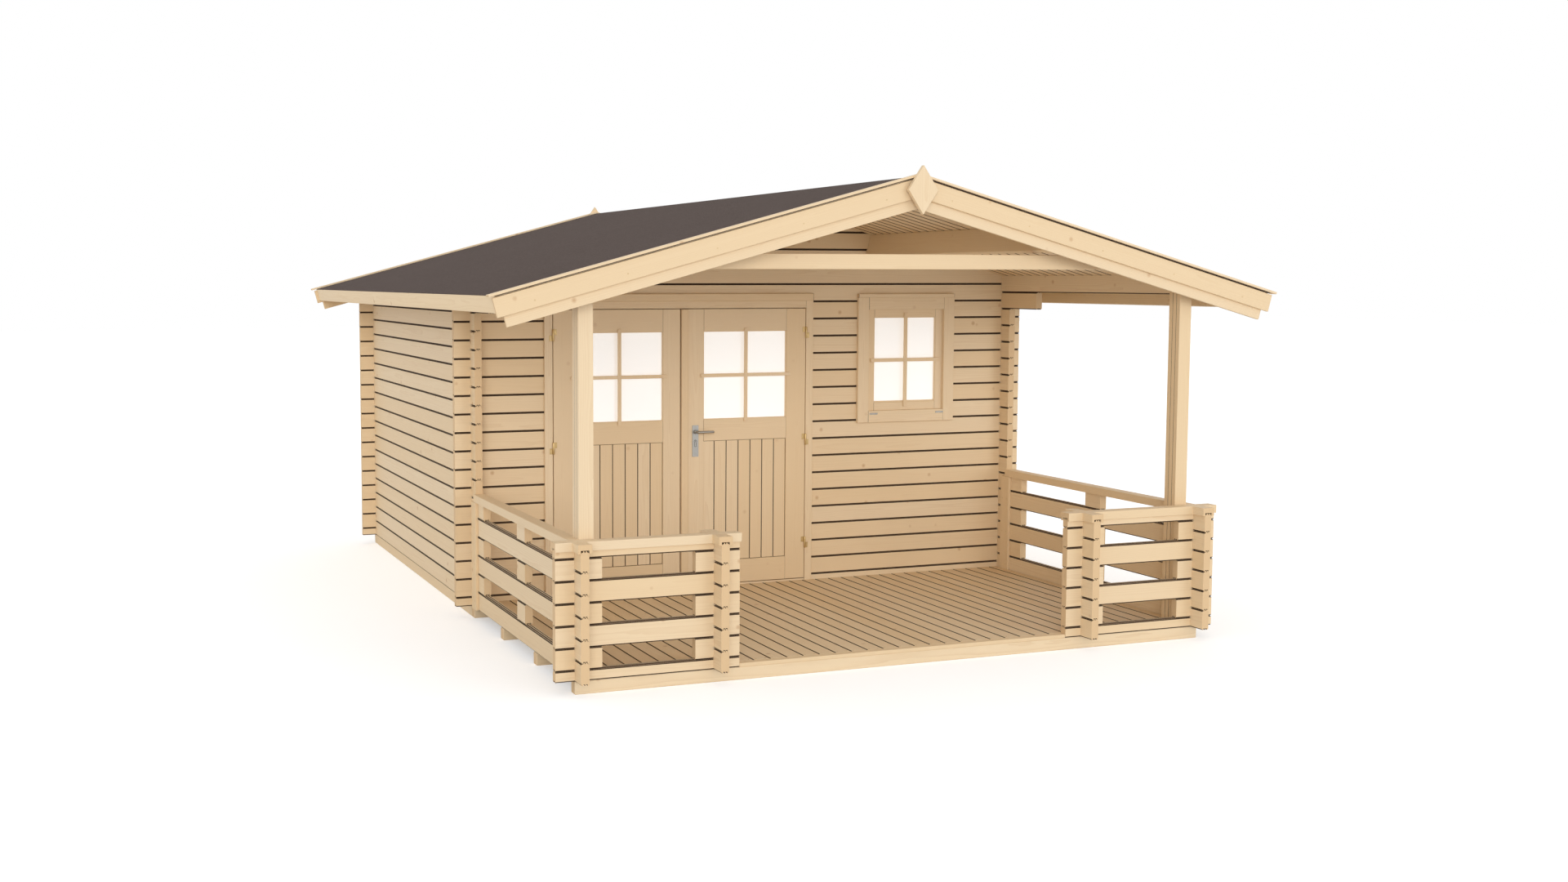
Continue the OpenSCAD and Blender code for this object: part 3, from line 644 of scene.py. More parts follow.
def eased_copy(node, ease=None, segments=1):
    """A copy of a node's shape with its sharp edges eased."""
    bm = node_mesh(node)
    bmesh.ops.dissolve_limit(bm, angle_limit=math.radians(1), verts=bm.verts, edges=bm.edges)
    for face in bm.faces:
        face.material_index = 0
    sharp = [e for e in bm.edges if e.calc_face_angle(0) > math.radians(20)]
    bmesh.ops.bevel(bm, geom=sharp, offset=ease or house().boards.ease, segments=segments,
                    profile=0.5, affect="EDGES", material=-1, clamp_overlap=True)
    return bm


def log_outline(low, high):
    """Section of a log as (across, up): bevelled edges, two grooves under and two tongues."""
    size = house().logs
    bevel, play = size.groove, size.tongue_play
    centres = [THICK * 0.35, THICK * 0.65]
    foot, tip, tall = size.tongue_foot, size.tongue_tip, size.tongue_height
    shoulder = high - size.shoulder_gap
    under = []
    over = []
    for centre in centres:
        under += [(centre - foot - play, low), (centre - tip - play, low + tall + play),
                  (centre + tip + play, low + tall + play), (centre + foot + play, low)]
        over += [(centre - foot, shoulder), (centre - tip, shoulder + tall),
                 (centre + tip, shoulder + tall), (centre + foot, shoulder)]
    return ([(0, low + bevel), (bevel, low)] + under + [(THICK - bevel, low)]
            + [(THICK, low + bevel), (THICK, high - bevel), (THICK - bevel, shoulder)]
            + over[::-1] + [(bevel, shoulder), (0, high - bevel)])


def x_log(bm, x0, x1, face, low, high):
    """A log along X between two course counts, its front face at face."""
    prism(bm, log_outline(course(low), course(high)), Vector((x0, face, 0)), Y, Z,
          X * (x1 - x0))


def y_log(bm, y0, y1, face, low, high):
    """A log along Y between two course counts, its left face at face."""
    prism(bm, log_outline(course(low), course(high)), Vector((face, y0, 0)), X, Z,
          Y * (y1 - y0))


def notch_x(tool, x, face, count):
    """Cuts the notches of logs along X, where logs along Y cross them at x."""
    play = house().logs.notch_play
    for k in range(count):
        block(tool, (x - play, face - 0.001, course(k + 0.25) - play),
              (x + THICK + play, face + THICK + 0.001, course(k + 0.75) + play))


def notch_y(tool, y, face, count):
    """Cuts the notches of logs along Y, where logs along X cross them at y."""
    play = house().logs.notch_play
    for k in range(count + 1):
        block(tool, (face - 0.001, y - play, course(k - 0.25)),
              (face + THICK + 0.001, y + THICK + play, course(k + 0.25)))


def slope_axes(side):
    """Down the slope, and square to it, on the right (1) or the left (-1)."""
    tilt = house().roof.slope
    return (Vector((side * math.cos(tilt), 0, -math.sin(tilt))),
            Vector((side * math.sin(tilt), 0, math.cos(tilt))))


def down_slope(centre):
    """The direction of the slope that a piece lies on."""
    return slope_axes(1 if centre.x > 0 else -1)[0]


def under_roof(lower=0.0005):
    """A tool that holds all the space under the roof boards."""
    tool = bmesh.new()
    ridge = RIDGE - lower
    foot = ridge - FAR * math.tan(house().roof.slope)
    prism(tool, [(-FAR, -FAR), (FAR, -FAR), (FAR, foot), (0, ridge), (-FAR, foot)],
          Vector((0, -FAR, 0)), X, Z, Y * 2 * FAR)
    return tool


def purlin_pockets(tool):
    """Cuts the pockets of the middle purlins into a gable."""
    slope = house().roof.slope
    play = house().roof.pocket_play
    top = highest("middle_purlins")
    tall = (top.z - lowest("middle_purlins").z - THICK * math.sin(slope)) / math.cos(slope)
    start = top.x / math.cos(slope) - THICK - play
    for side in (-1, 1):
        down, square = slope_axes(side)
        origin = Vector((0, -FAR, RIDGE)) + down * start - square * (tall + play)
        width, height = THICK + 2 * play, tall + play + 0.002
        prism(tool, [(0, 0), (width, 0), (width, height), (0, height)], origin, down, square,
              Y * 2 * FAR)


def screws(bm, points, normal):
    """Countersunk screw heads on a flat face, each with its driver recess."""
    radius = house().boards.screw_radius
    head, recess = 0.0012, 0.0009
    turn = Z.rotation_difference(normal).to_matrix().to_4x4()
    for point in points:
        matrix = Matrix.Translation(point) @ turn
        made = bmesh.ops.create_cone(bm, cap_ends=True, cap_tris=False, segments=8,
                                     radius1=radius, radius2=radius * 0.85, depth=head,
                                     matrix=matrix)
        faces = {f for v in made["verts"] for f in v.link_faces}
        top = max(faces, key=lambda f: f.calc_center_median().dot(normal))
        bmesh.ops.inset_region(bm, faces=[top], thickness=radius * 0.4)
        bmesh.ops.translate(bm, vec=normal * -recess, verts=top.verts)


def place_screws(name, bm, body="house"):
    """Screws as one piece."""
    bmesh.ops.recalc_face_normals(bm, faces=bm.faces)
    return place(name, bm, ("zinc",), "hinge_metal", body)


# ---------------------------------------------------------------- walls and roof frame

class GARDENHOUSE_OT_side_walls(Operator):
    """Lays the logs of the side walls, with the long log that carries the eaves in front"""
    bl_idname = "garden_house.side_walls"
    bl_label = "Side walls"

    def execute(self, context):
        for node, face in (("left_wall", -OUTER), ("right_wall", INNER)):
            bm = bmesh.new()
            for k in range(EAVES_COURSE):
                start = lowest(node).y if k == EAVES_COURSE - 1 else FRONT - LOG_END
                y_log(bm, start, HOUSE_BACK, face, k, k + 1)
            cut = bmesh.new()
            notch_y(cut, FRONT, face, EAVES_COURSE)
            notch_y(cut, BACK - THICK, face, EAVES_COURSE)
            place_wood(node + "_logs", carve(bm, cut), Y, "logs", "logs", nodes=(node,),
                       joints="sides, under")
        return {"FINISHED"}


def gable_logs(bm, face, first):
    """Logs along X from a course up to the ridge."""
    ends = OUTER + LOG_END
    k = first
    while course(k) < RIDGE:
        x_log(bm, -ends, ends, face, k, k + 1)
        k += 1


class GARDENHOUSE_OT_front_wall(Operator):
    """Lays the logs of the front wall on both sides of the door and round the window"""
    bl_idname = "garden_house.front_wall"
    bl_label = "Front wall"

    def execute(self, context):
        ends = OUTER + LOG_END
        lap = house().window.lap
        hole_left = lowest("window_casing").x + lap
        hole_right = highest("window_casing").x - lap
        hole_bottom = lowest("window_casing").z + house().window.sill_lap
        for node, start, end in (("front_wall_left", -ends, highest("front_wall_left").x),
                                 ("front_wall_right", lowest("front_wall_right").x, ends)):
            bm = bmesh.new()
            x_log(bm, start, end, FRONT, 0, 0.5)
            k = 0.5
            while k < OPENING_TOP:
                if end > hole_right and course(k + 0.5) > hole_bottom:
                    x_log(bm, start, hole_left, FRONT, k, k + 1)
                    x_log(bm, hole_right, end, FRONT, k, k + 1)
                else:
                    x_log(bm, start, end, FRONT, k, k + 1)
                k += 1
            cut = bmesh.new()
            notch_x(cut, -OUTER if start < -OUTER else INNER, FRONT, EAVES_COURSE + 1)
            place_wood(node + "_logs", carve(bm, cut), X, "logs", "logs", nodes=(node,),
                       joints="sides, under")
        return {"FINISHED"}


class GARDENHOUSE_OT_gables(Operator):
    """Lays the front gable over the door and the whole back wall, cut to the roof's slope"""
    bl_idname = "garden_house.gables"
    bl_label = "Gables and back wall"

    def execute(self, context):
        for node, face, first in (("front_gable", FRONT, OPENING_TOP),
                                  ("back_wall", BACK - THICK, 0.5)):
            bm = bmesh.new()
            if first < 1:
                x_log(bm, -OUTER - LOG_END, OUTER + LOG_END, face, 0, 0.5)
            gable_logs(bm, face, first)
            cut = bmesh.new()
            for x in (-OUTER, INNER):
                notch_x(cut, x, face, EAVES_COURSE + 1)
            purlin_pockets(cut)
            place_wood(node + "_logs", carve(bm, cut, under_roof()), X, "logs", "logs",
                       nodes=(node,), joints="sides, under")
        return {"FINISHED"}


class GARDENHOUSE_OT_purlins(Operator):
    """Makes the purlins that carry the roof, at the eaves and between"""
    bl_idname = "garden_house.purlins"
    bl_label = "Purlins"

    def execute(self, context):
        bm = bmesh.new()
        cut = bmesh.new()
        for face in (-OUTER, INNER):
            y_log(bm, lowest("eaves_purlins").y, HOUSE_BACK, face, EAVES_COURSE,
                  EAVES_COURSE + 1.3)
            for y in (FRONT, BACK - THICK):
                notch_y(cut, y, face, EAVES_COURSE + 1)
        top = bmesh.new()
        block(top, (-FAR, -2 * FAR, 0), (FAR, 2 * FAR, course(EAVES_COURSE + 1)))
        bm = carve(carve(bm, cut, under_roof()), keep=top)
        place_wood("eaves_purlin_logs", bm, Y, "logs", "logs", nodes=("eaves_purlins",),
                   joints="sides, under")
        bm = eased_copy("middle_purlins", house().boards.rough_ease)
        place_wood("middle_purlin_beams", bm, Y, "logs", "logs", nodes=("middle_purlins",))
        return {"FINISHED"}


class GARDENHOUSE_OT_veranda_frame(Operator):
    """Makes the posts of three glued layers, and the tie beam between them"""
    bl_idname = "garden_house.veranda_frame"
    bl_label = "Posts and tie beam"

    def execute(self, context):
        ease = house().boards.rough_ease
        posts = eased_copy("posts", house().boards.ease / 4)
        for group in islands(posts):
            low, high = extent(group)
            for face in {f for v in group for f in v.link_faces}:
                x = face.calc_center_median().x
                # Faces in the glue lines get material 2: painted shade in those shallow grooves.
                if GLUE_LINE[0] < min(x - low.x, high.x - x) < GLUE_LINE[1]:
                    face.material_index = 2
        place_wood("post_beams", posts, Z, "logs", "logs", nodes=("posts",))
        place_wood("tie_beam_board", eased_copy("tie_beam", ease), X, "logs", "logs",
                   nodes=("tie_beam",))
        return {"FINISHED"}


class GARDENHOUSE_OT_bearers(Operator):
    """Makes the bearers that the house stands on"""
    bl_idname = "garden_house.bearers"
    bl_label = "Bearers"

    def execute(self, context):
        ease = house().boards.rough_ease
        for node, run in (("side_bearers", Y), ("cabin_bearers", X), ("deck_bearers", X)):
            place_wood(node + "_timber", eased_copy(node, ease), run, "bearers", "bearers",
                       nodes=(node,))
        return {"FINISHED"}


# ---------------------------------------------------------------- railing

def rail_top():
    """How many courses up the top logs of a railing end, under the handrail's groove."""
    return RAIL_COURSES - (house().logs.tongue_height + CAP_CLEARANCE) / COVER


def left_face(x, side):
    """The left face of a log at x on the right (1), or of its twin on the left (-1)."""
    return x if side > 0 else -x - THICK


class GARDENHOUSE_OT_side_railings(Operator):
    """Lays the side railings: rails a log apart, with blocks between them"""
    bl_idname = "garden_house.side_railings"
    bl_label = "Side railings"

    def execute(self, context):
        size = house().railing
        block_half = size.middle_block / 2
        wall_end = FRONT - LOG_END
        start = lowest("left_railing").y
        middle = (start + FRONT) / 2 - size.middle_shift
        for node, face in (("left_railing", -OUTER), ("right_railing", INNER)):
            bm = bmesh.new()
            for k in range(0, RAIL_COURSES, 2):
                y_log(bm, start, wall_end, face, k, k + 1)
                for y0, y1 in ((start, RAIL_BACK + LOG_END),
                               (middle - block_half, middle + block_half),
                               (wall_end - size.wall_block, wall_end)):
                    y_log(bm, y0, y1, face, k + 1, min(k + 2, rail_top()))
            cut = bmesh.new()
            notch_y(cut, RAIL_FRONT, face, RAIL_COURSES)
            place_wood(node + "_logs", carve(bm, cut), Y, "logs", "logs", nodes=(node,),
                       joints="sides, under")
        return {"FINISHED"}


class GARDENHOUSE_OT_front_railings(Operator):
    """Lays the front railings, half a log lower than the side railings they cross"""
    bl_idname = "garden_house.front_railings"
    bl_label = "Front railings"

    def execute(self, context):
        ends = OUTER + LOG_END
        top = rail_top()
        stub_end = CROSSING + THICK + LOG_END
        for node, side in (("front_railing_left", -1), ("front_railing_right", 1)):
            bm = bmesh.new()
            spans = [(ENTRANCE, ends, 0, 0.5), (ENTRANCE, ends, RAIL_COURSES - 0.5, top)]
            spans += [(ENTRANCE, ends, k, k + 1) for k in (1.5, 3.5)]
            for k in (0.5, 2.5, 4.5):
                spans += [(ENTRANCE, stub_end, k, k + 1), (INNER - LOG_END, ends, k, k + 1)]
            for x0, x1, low, high in spans:
                first, last = sorted((side * x0, side * x1))
                x_log(bm, first, last, RAIL_FRONT, low, high)
            cut = bmesh.new()
            for x in (CROSSING, INNER):
                notch_x(cut, left_face(x, side), RAIL_FRONT, RAIL_COURSES)
            place_wood(node + "_logs", carve(bm, cut), X, "logs", "logs", nodes=(node,),
                       joints="sides, under")
        return {"FINISHED"}


class GARDENHOUSE_OT_railing_crossings(Operator):
    """Lays the short logs that cross the front railings beside the way in"""
    bl_idname = "garden_house.railing_crossings"
    bl_label = "Railing crossings"

    def execute(self, context):
        bm = bmesh.new()
        cut = bmesh.new()
        top = rail_top()
        for face in (-CROSSING - THICK, CROSSING):
            for k in range(RAIL_COURSES):
                y_log(bm, STUB_FRONT, RAIL_BACK + LOG_END, face, k, min(k + 1, top))
            notch_y(cut, RAIL_FRONT, face, RAIL_COURSES)
        place_wood("railing_crossing_logs", carve(bm, cut), Y, "logs", "logs",
                   nodes=("railing_crossings",), joints="sides, under")
        return {"FINISHED"}


def cap_outline():
    """Section of a handrail, with eased upper edges and a groove over the railing."""
    size = house().railing
    ease = house().boards.ease * 1.5
    play = size.cap_play / 2
    left, right = -size.cap_side, THICK + size.cap_side
    return [(left, -size.cap_grip), (-play, -size.cap_grip), (-play, 0), (THICK + play, 0),
            (THICK + play, -size.cap_grip), (right, -size.cap_grip),
            (right, size.cap_top - ease), (right - ease, size.cap_top),
            (left + ease, size.cap_top), (left, size.cap_top - ease)]


class GARDENHOUSE_OT_handrails(Operator):
    """Makes the grooved handrails: long ones, and short ones over the crossing logs"""
    bl_idname = "garden_house.handrails"
    bl_label = "Handrails"

    def execute(self, context):
        size = house().railing
        outline = cap_outline()
        play = size.cap_play
        bottom = RAIL_TOP - size.cap_grip - 0.001
        post_low, post_high = lowest("posts"), highest("posts")
        bm = bmesh.new()
        cut = bmesh.new()
        for side in (-1, 1):
            face = INNER if side > 0 else -OUTER
            start = RAIL_BACK + size.cap_side
            prism(bm, outline, Vector((face, start, RAIL_TOP)), X, Z,
                  Y * (FRONT - LOG_END - start))
            x0, x1 = sorted((side * (INNER - 0.2), side * (INNER + play / 2)))
            block(cut, (x0, post_low.y - play, bottom), (x1, post_high.y + play, RAIL_TOP + 1))
        place_wood("side_handrail_caps", carve(bm, cut), Y, "boards", "boards",
                   nodes=("side_handrails",))

        bm = bmesh.new()
        cut = bmesh.new()
        first = ENTRANCE - size.cap_lap
        last = OUTER + LOG_END + size.cap_lap
        for side in (-1, 1):
            x0 = first if side > 0 else -last
            prism(bm, outline, Vector((x0, RAIL_FRONT, RAIL_TOP)), Y, Z, X * (last - first))
            for x in (CROSSING, INNER):
                face = left_face(x, side)
                block(cut, (face - play / 2, STUB_FRONT - 0.1, bottom),
                      (face + THICK + play / 2, RAIL_BACK + 0.2, RAIL_TOP))
        place_wood("front_handrail_caps", carve(bm, cut), X, "boards", "boards",
                   nodes=("front_handrails",))

        bm = bmesh.new()
        front = STUB_FRONT - size.cap_lap
        for side in (-1, 1):
            for x in (CROSSING, INNER):
                face = left_face(x, side)
                prism(bm, outline, Vector((face, front, RAIL_TOP)), X, Z,
                      Y * (RAIL_FRONT - size.cap_side - front))
            face = left_face(CROSSING, side)
            start = RAIL_BACK + size.cap_side
            prism(bm, outline, Vector((face, start, RAIL_TOP)), X, Z,
                  Y * (LOG_END + size.cap_lap - size.cap_side))
        place_wood("handrail_end_caps", bm, Y, "boards", "boards")
        return {"FINISHED"}


class GARDENHOUSE_OT_battens(Operator):
    """Makes the upright battens that join the side railings to the wall, with their screws"""
    bl_idname = "garden_house.battens"
    bl_label = "Railing battens"

    def execute(self, context):
        place_wood("railing_batten_boards", eased_copy("railing_battens"), Z, "boards",
                   "boards", nodes=("railing_battens",))
        low, high = lowest("railing_battens"), highest("railing_battens")
        thick = high.x - OUTER
        bm = bmesh.new()
        for side in (-1, 1):
            for x, normal in ((OUTER + thick, X), (INNER - thick, -X)):
                points = [Vector((side * x, y, course(k + 0.5)))
                          for k in range(0, RAIL_COURSES, 2)
                          for y in (low.y + 0.025, high.y - 0.025)]
                screws(bm, points, normal * side)
        place_screws("batten_screws", bm)
        return {"FINISHED"}


# ---------------------------------------------------------------- floors

def board_rows(start, end, pitch, gap):
    """The two edges of each board laid from start to end, the last one ripped to fit."""
    rows = []
    at = start
    while at < end - gap:
        rows.append((at, min(at + pitch - gap, end)))
        at += pitch
    return rows


class GARDENHOUSE_OT_deck(Operator):
    """Lays the veranda's deck boards with open gaps, and the board along the way in"""
    bl_idname = "garden_house.deck"
    bl_label = "Veranda deck"

    def execute(self, context):
        size = house().boards
        low, high = lowest("veranda_deck"), highest("veranda_deck")
        front = RAIL_BACK + FRONT - high.y
        rows = board_rows(low.x, high.x, size.deck_pitch, size.deck_gap)
        bm = bmesh.new()
        for x0, x1 in rows:
            board(bm, (x0, front, GROUND), (x1, high.y, high.z), ease=size.deck_ease)
        cut = bmesh.new()
        for face in (-CROSSING - THICK, CROSSING):
            block(cut, (face - 0.002, low.y, 0), (face + THICK + 0.002,
                                                  RAIL_BACK + LOG_END + 0.002, 1))
        place_wood("deck_boards", carve(bm, cut), Y, "boards", "boards",
                   nodes=("veranda_deck",), joints="sides")
        bm = bmesh.new()
        edge = ENTRANCE - (FRONT - high.y)
        board(bm, (-edge, RAIL_FRONT, GROUND), (edge, RAIL_BACK, high.z), ease=0.002)
        place_wood("deck_edge_board", bm, X, "boards", "boards")
        bm = bmesh.new()
        half_bearer, inset = 0.03, 0.018
        bearer = lowest("deck_bearers").y + half_bearer
        spacing = (highest("deck_bearers").y - half_bearer - bearer) / 3
        points = []
        for x0, x1 in rows:
            for k in range(4):
                y = bearer + k * spacing + (0.035 if k == 0 else 0)
                if y < RAIL_BACK + LOG_END and CROSSING - 0.02 < abs(x0) < CROSSING + 0.1:
                    continue
                points += [Vector((x, y, high.z)) for x in (x0 + inset, x1 - inset)]
        screws(bm, points, Z)
        place_screws("deck_screws", bm)
        return {"FINISHED"}


class GARDENHOUSE_OT_floor(Operator):
    """Lays the cabin's floor boards, tight together"""
    bl_idname = "garden_house.floor"
    bl_label = "Cabin floor"

    def execute(self, context):
        size = house().boards
        low, high = lowest("cabin_floor"), highest("cabin_floor")
        bm = bmesh.new()
        for x0, x1 in board_rows(low.x, high.x, size.floor_pitch, size.floor_gap):
            board(bm, (x0, low.y, low.z), (x1, high.y, high.z), ease=0.0012)
        place_wood("floor_boards", bm, Y, "boards", "boards", nodes=("cabin_floor",))
        return {"FINISHED"}


# ---------------------------------------------------------------- roof

class GARDENHOUSE_OT_roof_boards(Operator):
    """Lays the roof boards from the ridge to the eaves, bevelled where they meet below"""
    bl_idname = "garden_house.roof_boards"
    bl_label = "Roof boards"

    def execute(self, context):
        size = house().roof
        groove = house().boards.roof_groove
        for node, side in (("roof_boards_left", -1), ("roof_boards_right", 1)):
            low, high = lowest(node), highest(node)
            down, square = slope_axes(side)
            reach = max(abs(low.x), abs(high.x)) - size.board_thickness * math.sin(size.slope)
            run = reach / math.cos(size.slope) - 0.001
            origin = Vector((0, 0, RIDGE)) + square * size.board_seat + down * 0.001
            thick = size.board_thickness
            bm = bmesh.new()
            for y0, y1 in board_rows(low.y, high.y, house().boards.roof_pitch, 0.0004):
                wide = y1 - y0
                outline = [(groove, 0), (wide - groove, 0), (wide, groove), (wide, thick),
                           (0, thick), (0, groove)]
                if wide > 3 * groove:
                    prism(bm, outline, origin + Y * y0, Y, square, down * run)
            place_wood(node + "_laid", bm, down, "boards", "boards", nodes=(node,),
                       joints="sides")
        return {"FINISHED"}


class GARDENHOUSE_OT_felt(Operator):
    """Gives the roofing felt its mineral finish"""
    bl_idname = "garden_house.felt"
    bl_label = "Roofing felt"

    def execute(self, context):
        for slot in frame["nodes"]["roofing_felt"].material_slots:
            slot.material = finish("felt")
        return {"FINISHED"}


class GARDENHOUSE_OT_verges(Operator):
    """Makes the verge boards, the laths over them, the eaves boards and the diamonds"""
    bl_idname = "garden_house.verges"
    bl_label = "Verges and eaves"

    def execute(self, context):
        for node, run in (("eaves_boards", Y), ("verge_inner", down_slope),
                          ("verge_outer", down_slope), ("verge_laths", down_slope),
                          ("gable_diamonds", Z)):
            place_wood(node + "_planed", eased_copy(node), run, "boards", "boards",
                       nodes=(node,))
        bm = bmesh.new()
        low, high = lowest("verge_outer"), highest("verge_outer")
        first, pitch, drop = 0.22, 0.5, 0.055
        points = []
        for side in (-1, 1):
            down, square = slope_axes(side)
            points += [Vector((0, 0, RIDGE)) + down * (first + pitch * k) - square * drop
                       for k in range(5)]
        screws(bm, [p + Y * low.y for p in points], -Y)
        screws(bm, [p + Y * high.y for p in points], Y)
        place_screws("verge_screws", bm)
        return {"FINISHED"}


# ---------------------------------------------------------------- door

DOOR_LOW = lowest("door_frame")
DOOR_HIGH = highest("door_frame")
LEAVES = (("left_leaf", "left_door_leaf", -1), ("right_leaf", "right_door_leaf", 1))


class GARDENHOUSE_OT_door_frame(Operator):
    """Makes the door's frame: casings, lining, stops, threshold and the drip board"""
    bl_idname = "garden_house.door_frame"
    bl_label = "Door frame"

    def execute(self, context):
        size = house().door
        left, right = DOOR_LOW.x, DOOR_HIGH.x
        top = DOOR_HIGH.z - size.drip_height
        front = FRONT - size.frame_front
        inside = FRONT + THICK
        back = inside + size.frame_front
        stop_y = front + size.leaf_thickness + size.leaf_gap
        head = top - size.frame_face + size.leaf_gap
        lining_top = course(OPENING_TOP) - LINING_PLAY
        floor_top = highest("cabin_floor").z
        threshold = lowest("left_leaf").z - size.leaf_gap
        bm = bmesh.new()
        for side, edge in ((-1, left), (1, right)):
            def upright(x0, x1, y0, y1, z0, z1):
                a, b = sorted((edge - side * x0, edge - side * x1))
                board(bm, (a, y0, z0), (b, y1, z1))
            upright(0, size.frame_face, front, FRONT, DECK_TOP, top)
            upright(size.frame_lap + LINING_PLAY, size.frame_face, FRONT, inside, GROUND,
                    lining_top)
            upright(size.frame_face, size.frame_face + size.frame_stop, stop_y, back,
                    floor_top, head - size.leaf_gap - size.frame_stop)
            upright(0, size.frame_face, inside, back, floor_top, top)
        place_wood("door_frame_uprights", bm, Z, "joinery", "joinery", nodes=("door_frame",))
        bm = bmesh.new()
        a, b = left + size.frame_face, right - size.frame_face
        board(bm, (a, front, head), (b, FRONT, top))
        board(bm, (a, FRONT, head), (b, inside, lining_top))
        board(bm, (a, stop_y, head - size.leaf_gap - size.frame_stop), (b, back, head))
        board(bm, (a, inside, head), (b, back, lining_top))
        board(bm, (left, FRONT - size.drip_thickness, top), (right, FRONT, DOOR_HIGH.z),
              ease=0.003, segments=2)
        board(bm, (a, front, DECK_TOP), (b, FRONT, threshold), ease=0.003, segments=2)
        board(bm, (a, FRONT, GROUND), (b, inside, threshold))
        board(bm, (a, inside, floor_top), (b, back, threshold), ease=0.003, segments=2)
        place_wood("door_frame_rails", bm, X, "joinery", "joinery", joints="ends")
        return {"FINISHED"}


def glass_bars(bm, left, right, bottom, top, face, width, thick, lap_side, lap_end):
    """Planted glazing bars: an upright one, and a level one in two lengths beside it."""
    middle_x, middle_z = (left + right) / 2, (bottom + top) / 2
    half = width / 2
    board(bm, (middle_x - half, face - thick, bottom - lap_end),
          (middle_x + half, face, top + lap_end), segments=2)
    for x0, x1 in ((left - lap_side, middle_x - half), (middle_x + half, right + lap_side)):
        board(bm, (x0, face - thick, middle_z - half), (x1, face, middle_z + half),
              segments=2)


def beads(upright, level, left, right, bottom, top, y0, y1, low):
    """Beads that hold a pane, on one side of it; the lowest is low high."""
    width = house().door.bead
    for x0, x1 in ((left, left + width), (right - width, right)):
        board(upright, (x0, y0, bottom), (x1, y1, top), ease=width / 4)
    for z0, z1 in ((bottom, bottom + low), (top - width, top)):
        board(level, (left + width, y0, z0), (right - width, y1, z1), ease=width / 4)


class GARDENHOUSE_OT_door_leaves(Operator):
    """Makes the two leaves: stiles, rails, upright panel boards, beads, bars and cover strip"""
    bl_idname = "garden_house.door_leaves"
    bl_label = "Door leaves"

    def execute(self, context):
        size = house().door
        front = FRONT - size.frame_front
        back = front + size.leaf_thickness
        pane_y = (front + back) / 2
        half_pane = size.pane_thickness / 2 + 0.0003
        for node, body, side in LEAVES:
            low, high = lowest(node), highest(node)
            meeting = size.left_meeting if side < 0 else size.right_meeting
            first = size.hinge_stile if side < 0 else meeting
            last = meeting if side < 0 else size.hinge_stile
            x0, x1 = low.x + first, high.x - last
            panel_low, panel_high = GROUND + size.panel_bottom, GROUND + size.panel_top
            glass_low, glass_high = GROUND + size.glass_bottom, GROUND + size.glass_top
            upright = bmesh.new()
            board(upright, low, (x0, back, high.z), segments=2)
            board(upright, (x1, front, low.z), high, segments=2)
            panel = bmesh.new()
            for near, far in board_rows(0, x1 - x0, size.panel_pitch, 0):
                board(panel, (x1 - far, front + size.panel_recess, panel_low),
                      (x1 - near, back - size.panel_recess, panel_high),
                      ease=size.panel_groove)
            place_wood(node + "_panel", panel, Z, "joinery", "joinery", body,
                       joints="sides and ends")
            level = bmesh.new()
            for z0, z1 in ((low.z, panel_low), (panel_high, glass_low), (glass_high, high.z)):
                board(level, (x0, front, z0), (x1, back, z1), segments=2)
            for y0, y1 in ((front + 0.004, pane_y - half_pane),
                           (pane_y + half_pane, back - 0.004)):
                beads(upright, level, x0, x1, glass_low, glass_high, y0, y1, size.bead)
            if side > 0:
                hole = bmesh.new()
                axis = highest("lever_handle").z - house().fittings.boss_radius
                centre = Vector((lowest("lock_plates").x + highest("lock_plates").x, 0,
                                 2 * axis)) / 2
                tunnel(hole, centre, SPINDLE_BORE)
                upright = carve(upright, hole)
            place_wood(node + "_uprights", upright, Z, "joinery", "joinery", body,
                       nodes=(node,))
            place_wood(node + "_rails", level, X, "joinery", "joinery", body,
                       joints="ends")
            bars = bmesh.new()
            glass_bars(bars, x0, x1, glass_low, glass_high, front, size.bar_width,
                       size.bar_thickness, size.bar_lap_side, size.bar_lap_end)
            place_wood(node + "_bars", bars, Z, "joinery", "joinery", body)
        strip = eased_copy("cover_strip", 0.004, 3)
        place_wood("door_cover_strip", strip, Z, "joinery", "joinery", "right_door_leaf",
                   nodes=("cover_strip",))
        return {"FINISHED"}


class GARDENHOUSE_OT_panes(Operator):
    """Gives the panes of the door and the window their glass"""
    bl_idname = "garden_house.panes"
    bl_label = "Panes"

    def execute(self, context):
        for node in ("left_pane", "right_pane", "window_pane"):
            for slot in frame["nodes"][node].material_slots:
                slot.material = finish("glass")
        return {"FINISHED"}


# ---------------------------------------------------------------- metal

def tunnel(bm, centre, radius):
    """A round tool along Y through the whole leaf."""
    matrix = Matrix.Translation(Vector((centre.x, FRONT, centre.z))) @ Matrix.Rotation(
        math.pi / 2, 4, "X")
    bmesh.ops.create_cone(bm, cap_ends=True, segments=house().fittings.segments,
                          radius1=radius, radius2=radius, depth=0.4, matrix=matrix)


def turned(bm, profile, origin, axis):
    """A turned part: its profile's (radius, along) points spun round an axis. A point on the
    axis closes an end."""
    square = Y if abs(axis.z) > 0.5 else Z
    verts = [bm.verts.new(origin + square * r + axis * a) for r, a in profile]
    edges = [bm.edges.new(pair) for pair in zip(verts, verts[1:])]
    bmesh.ops.spin(bm, geom=verts + edges, cent=origin, axis=axis, angle=2 * math.pi,
                   steps=house().fittings.segments, use_merge=True)
    bmesh.ops.remove_doubles(bm, verts=bm.verts, dist=1e-6)


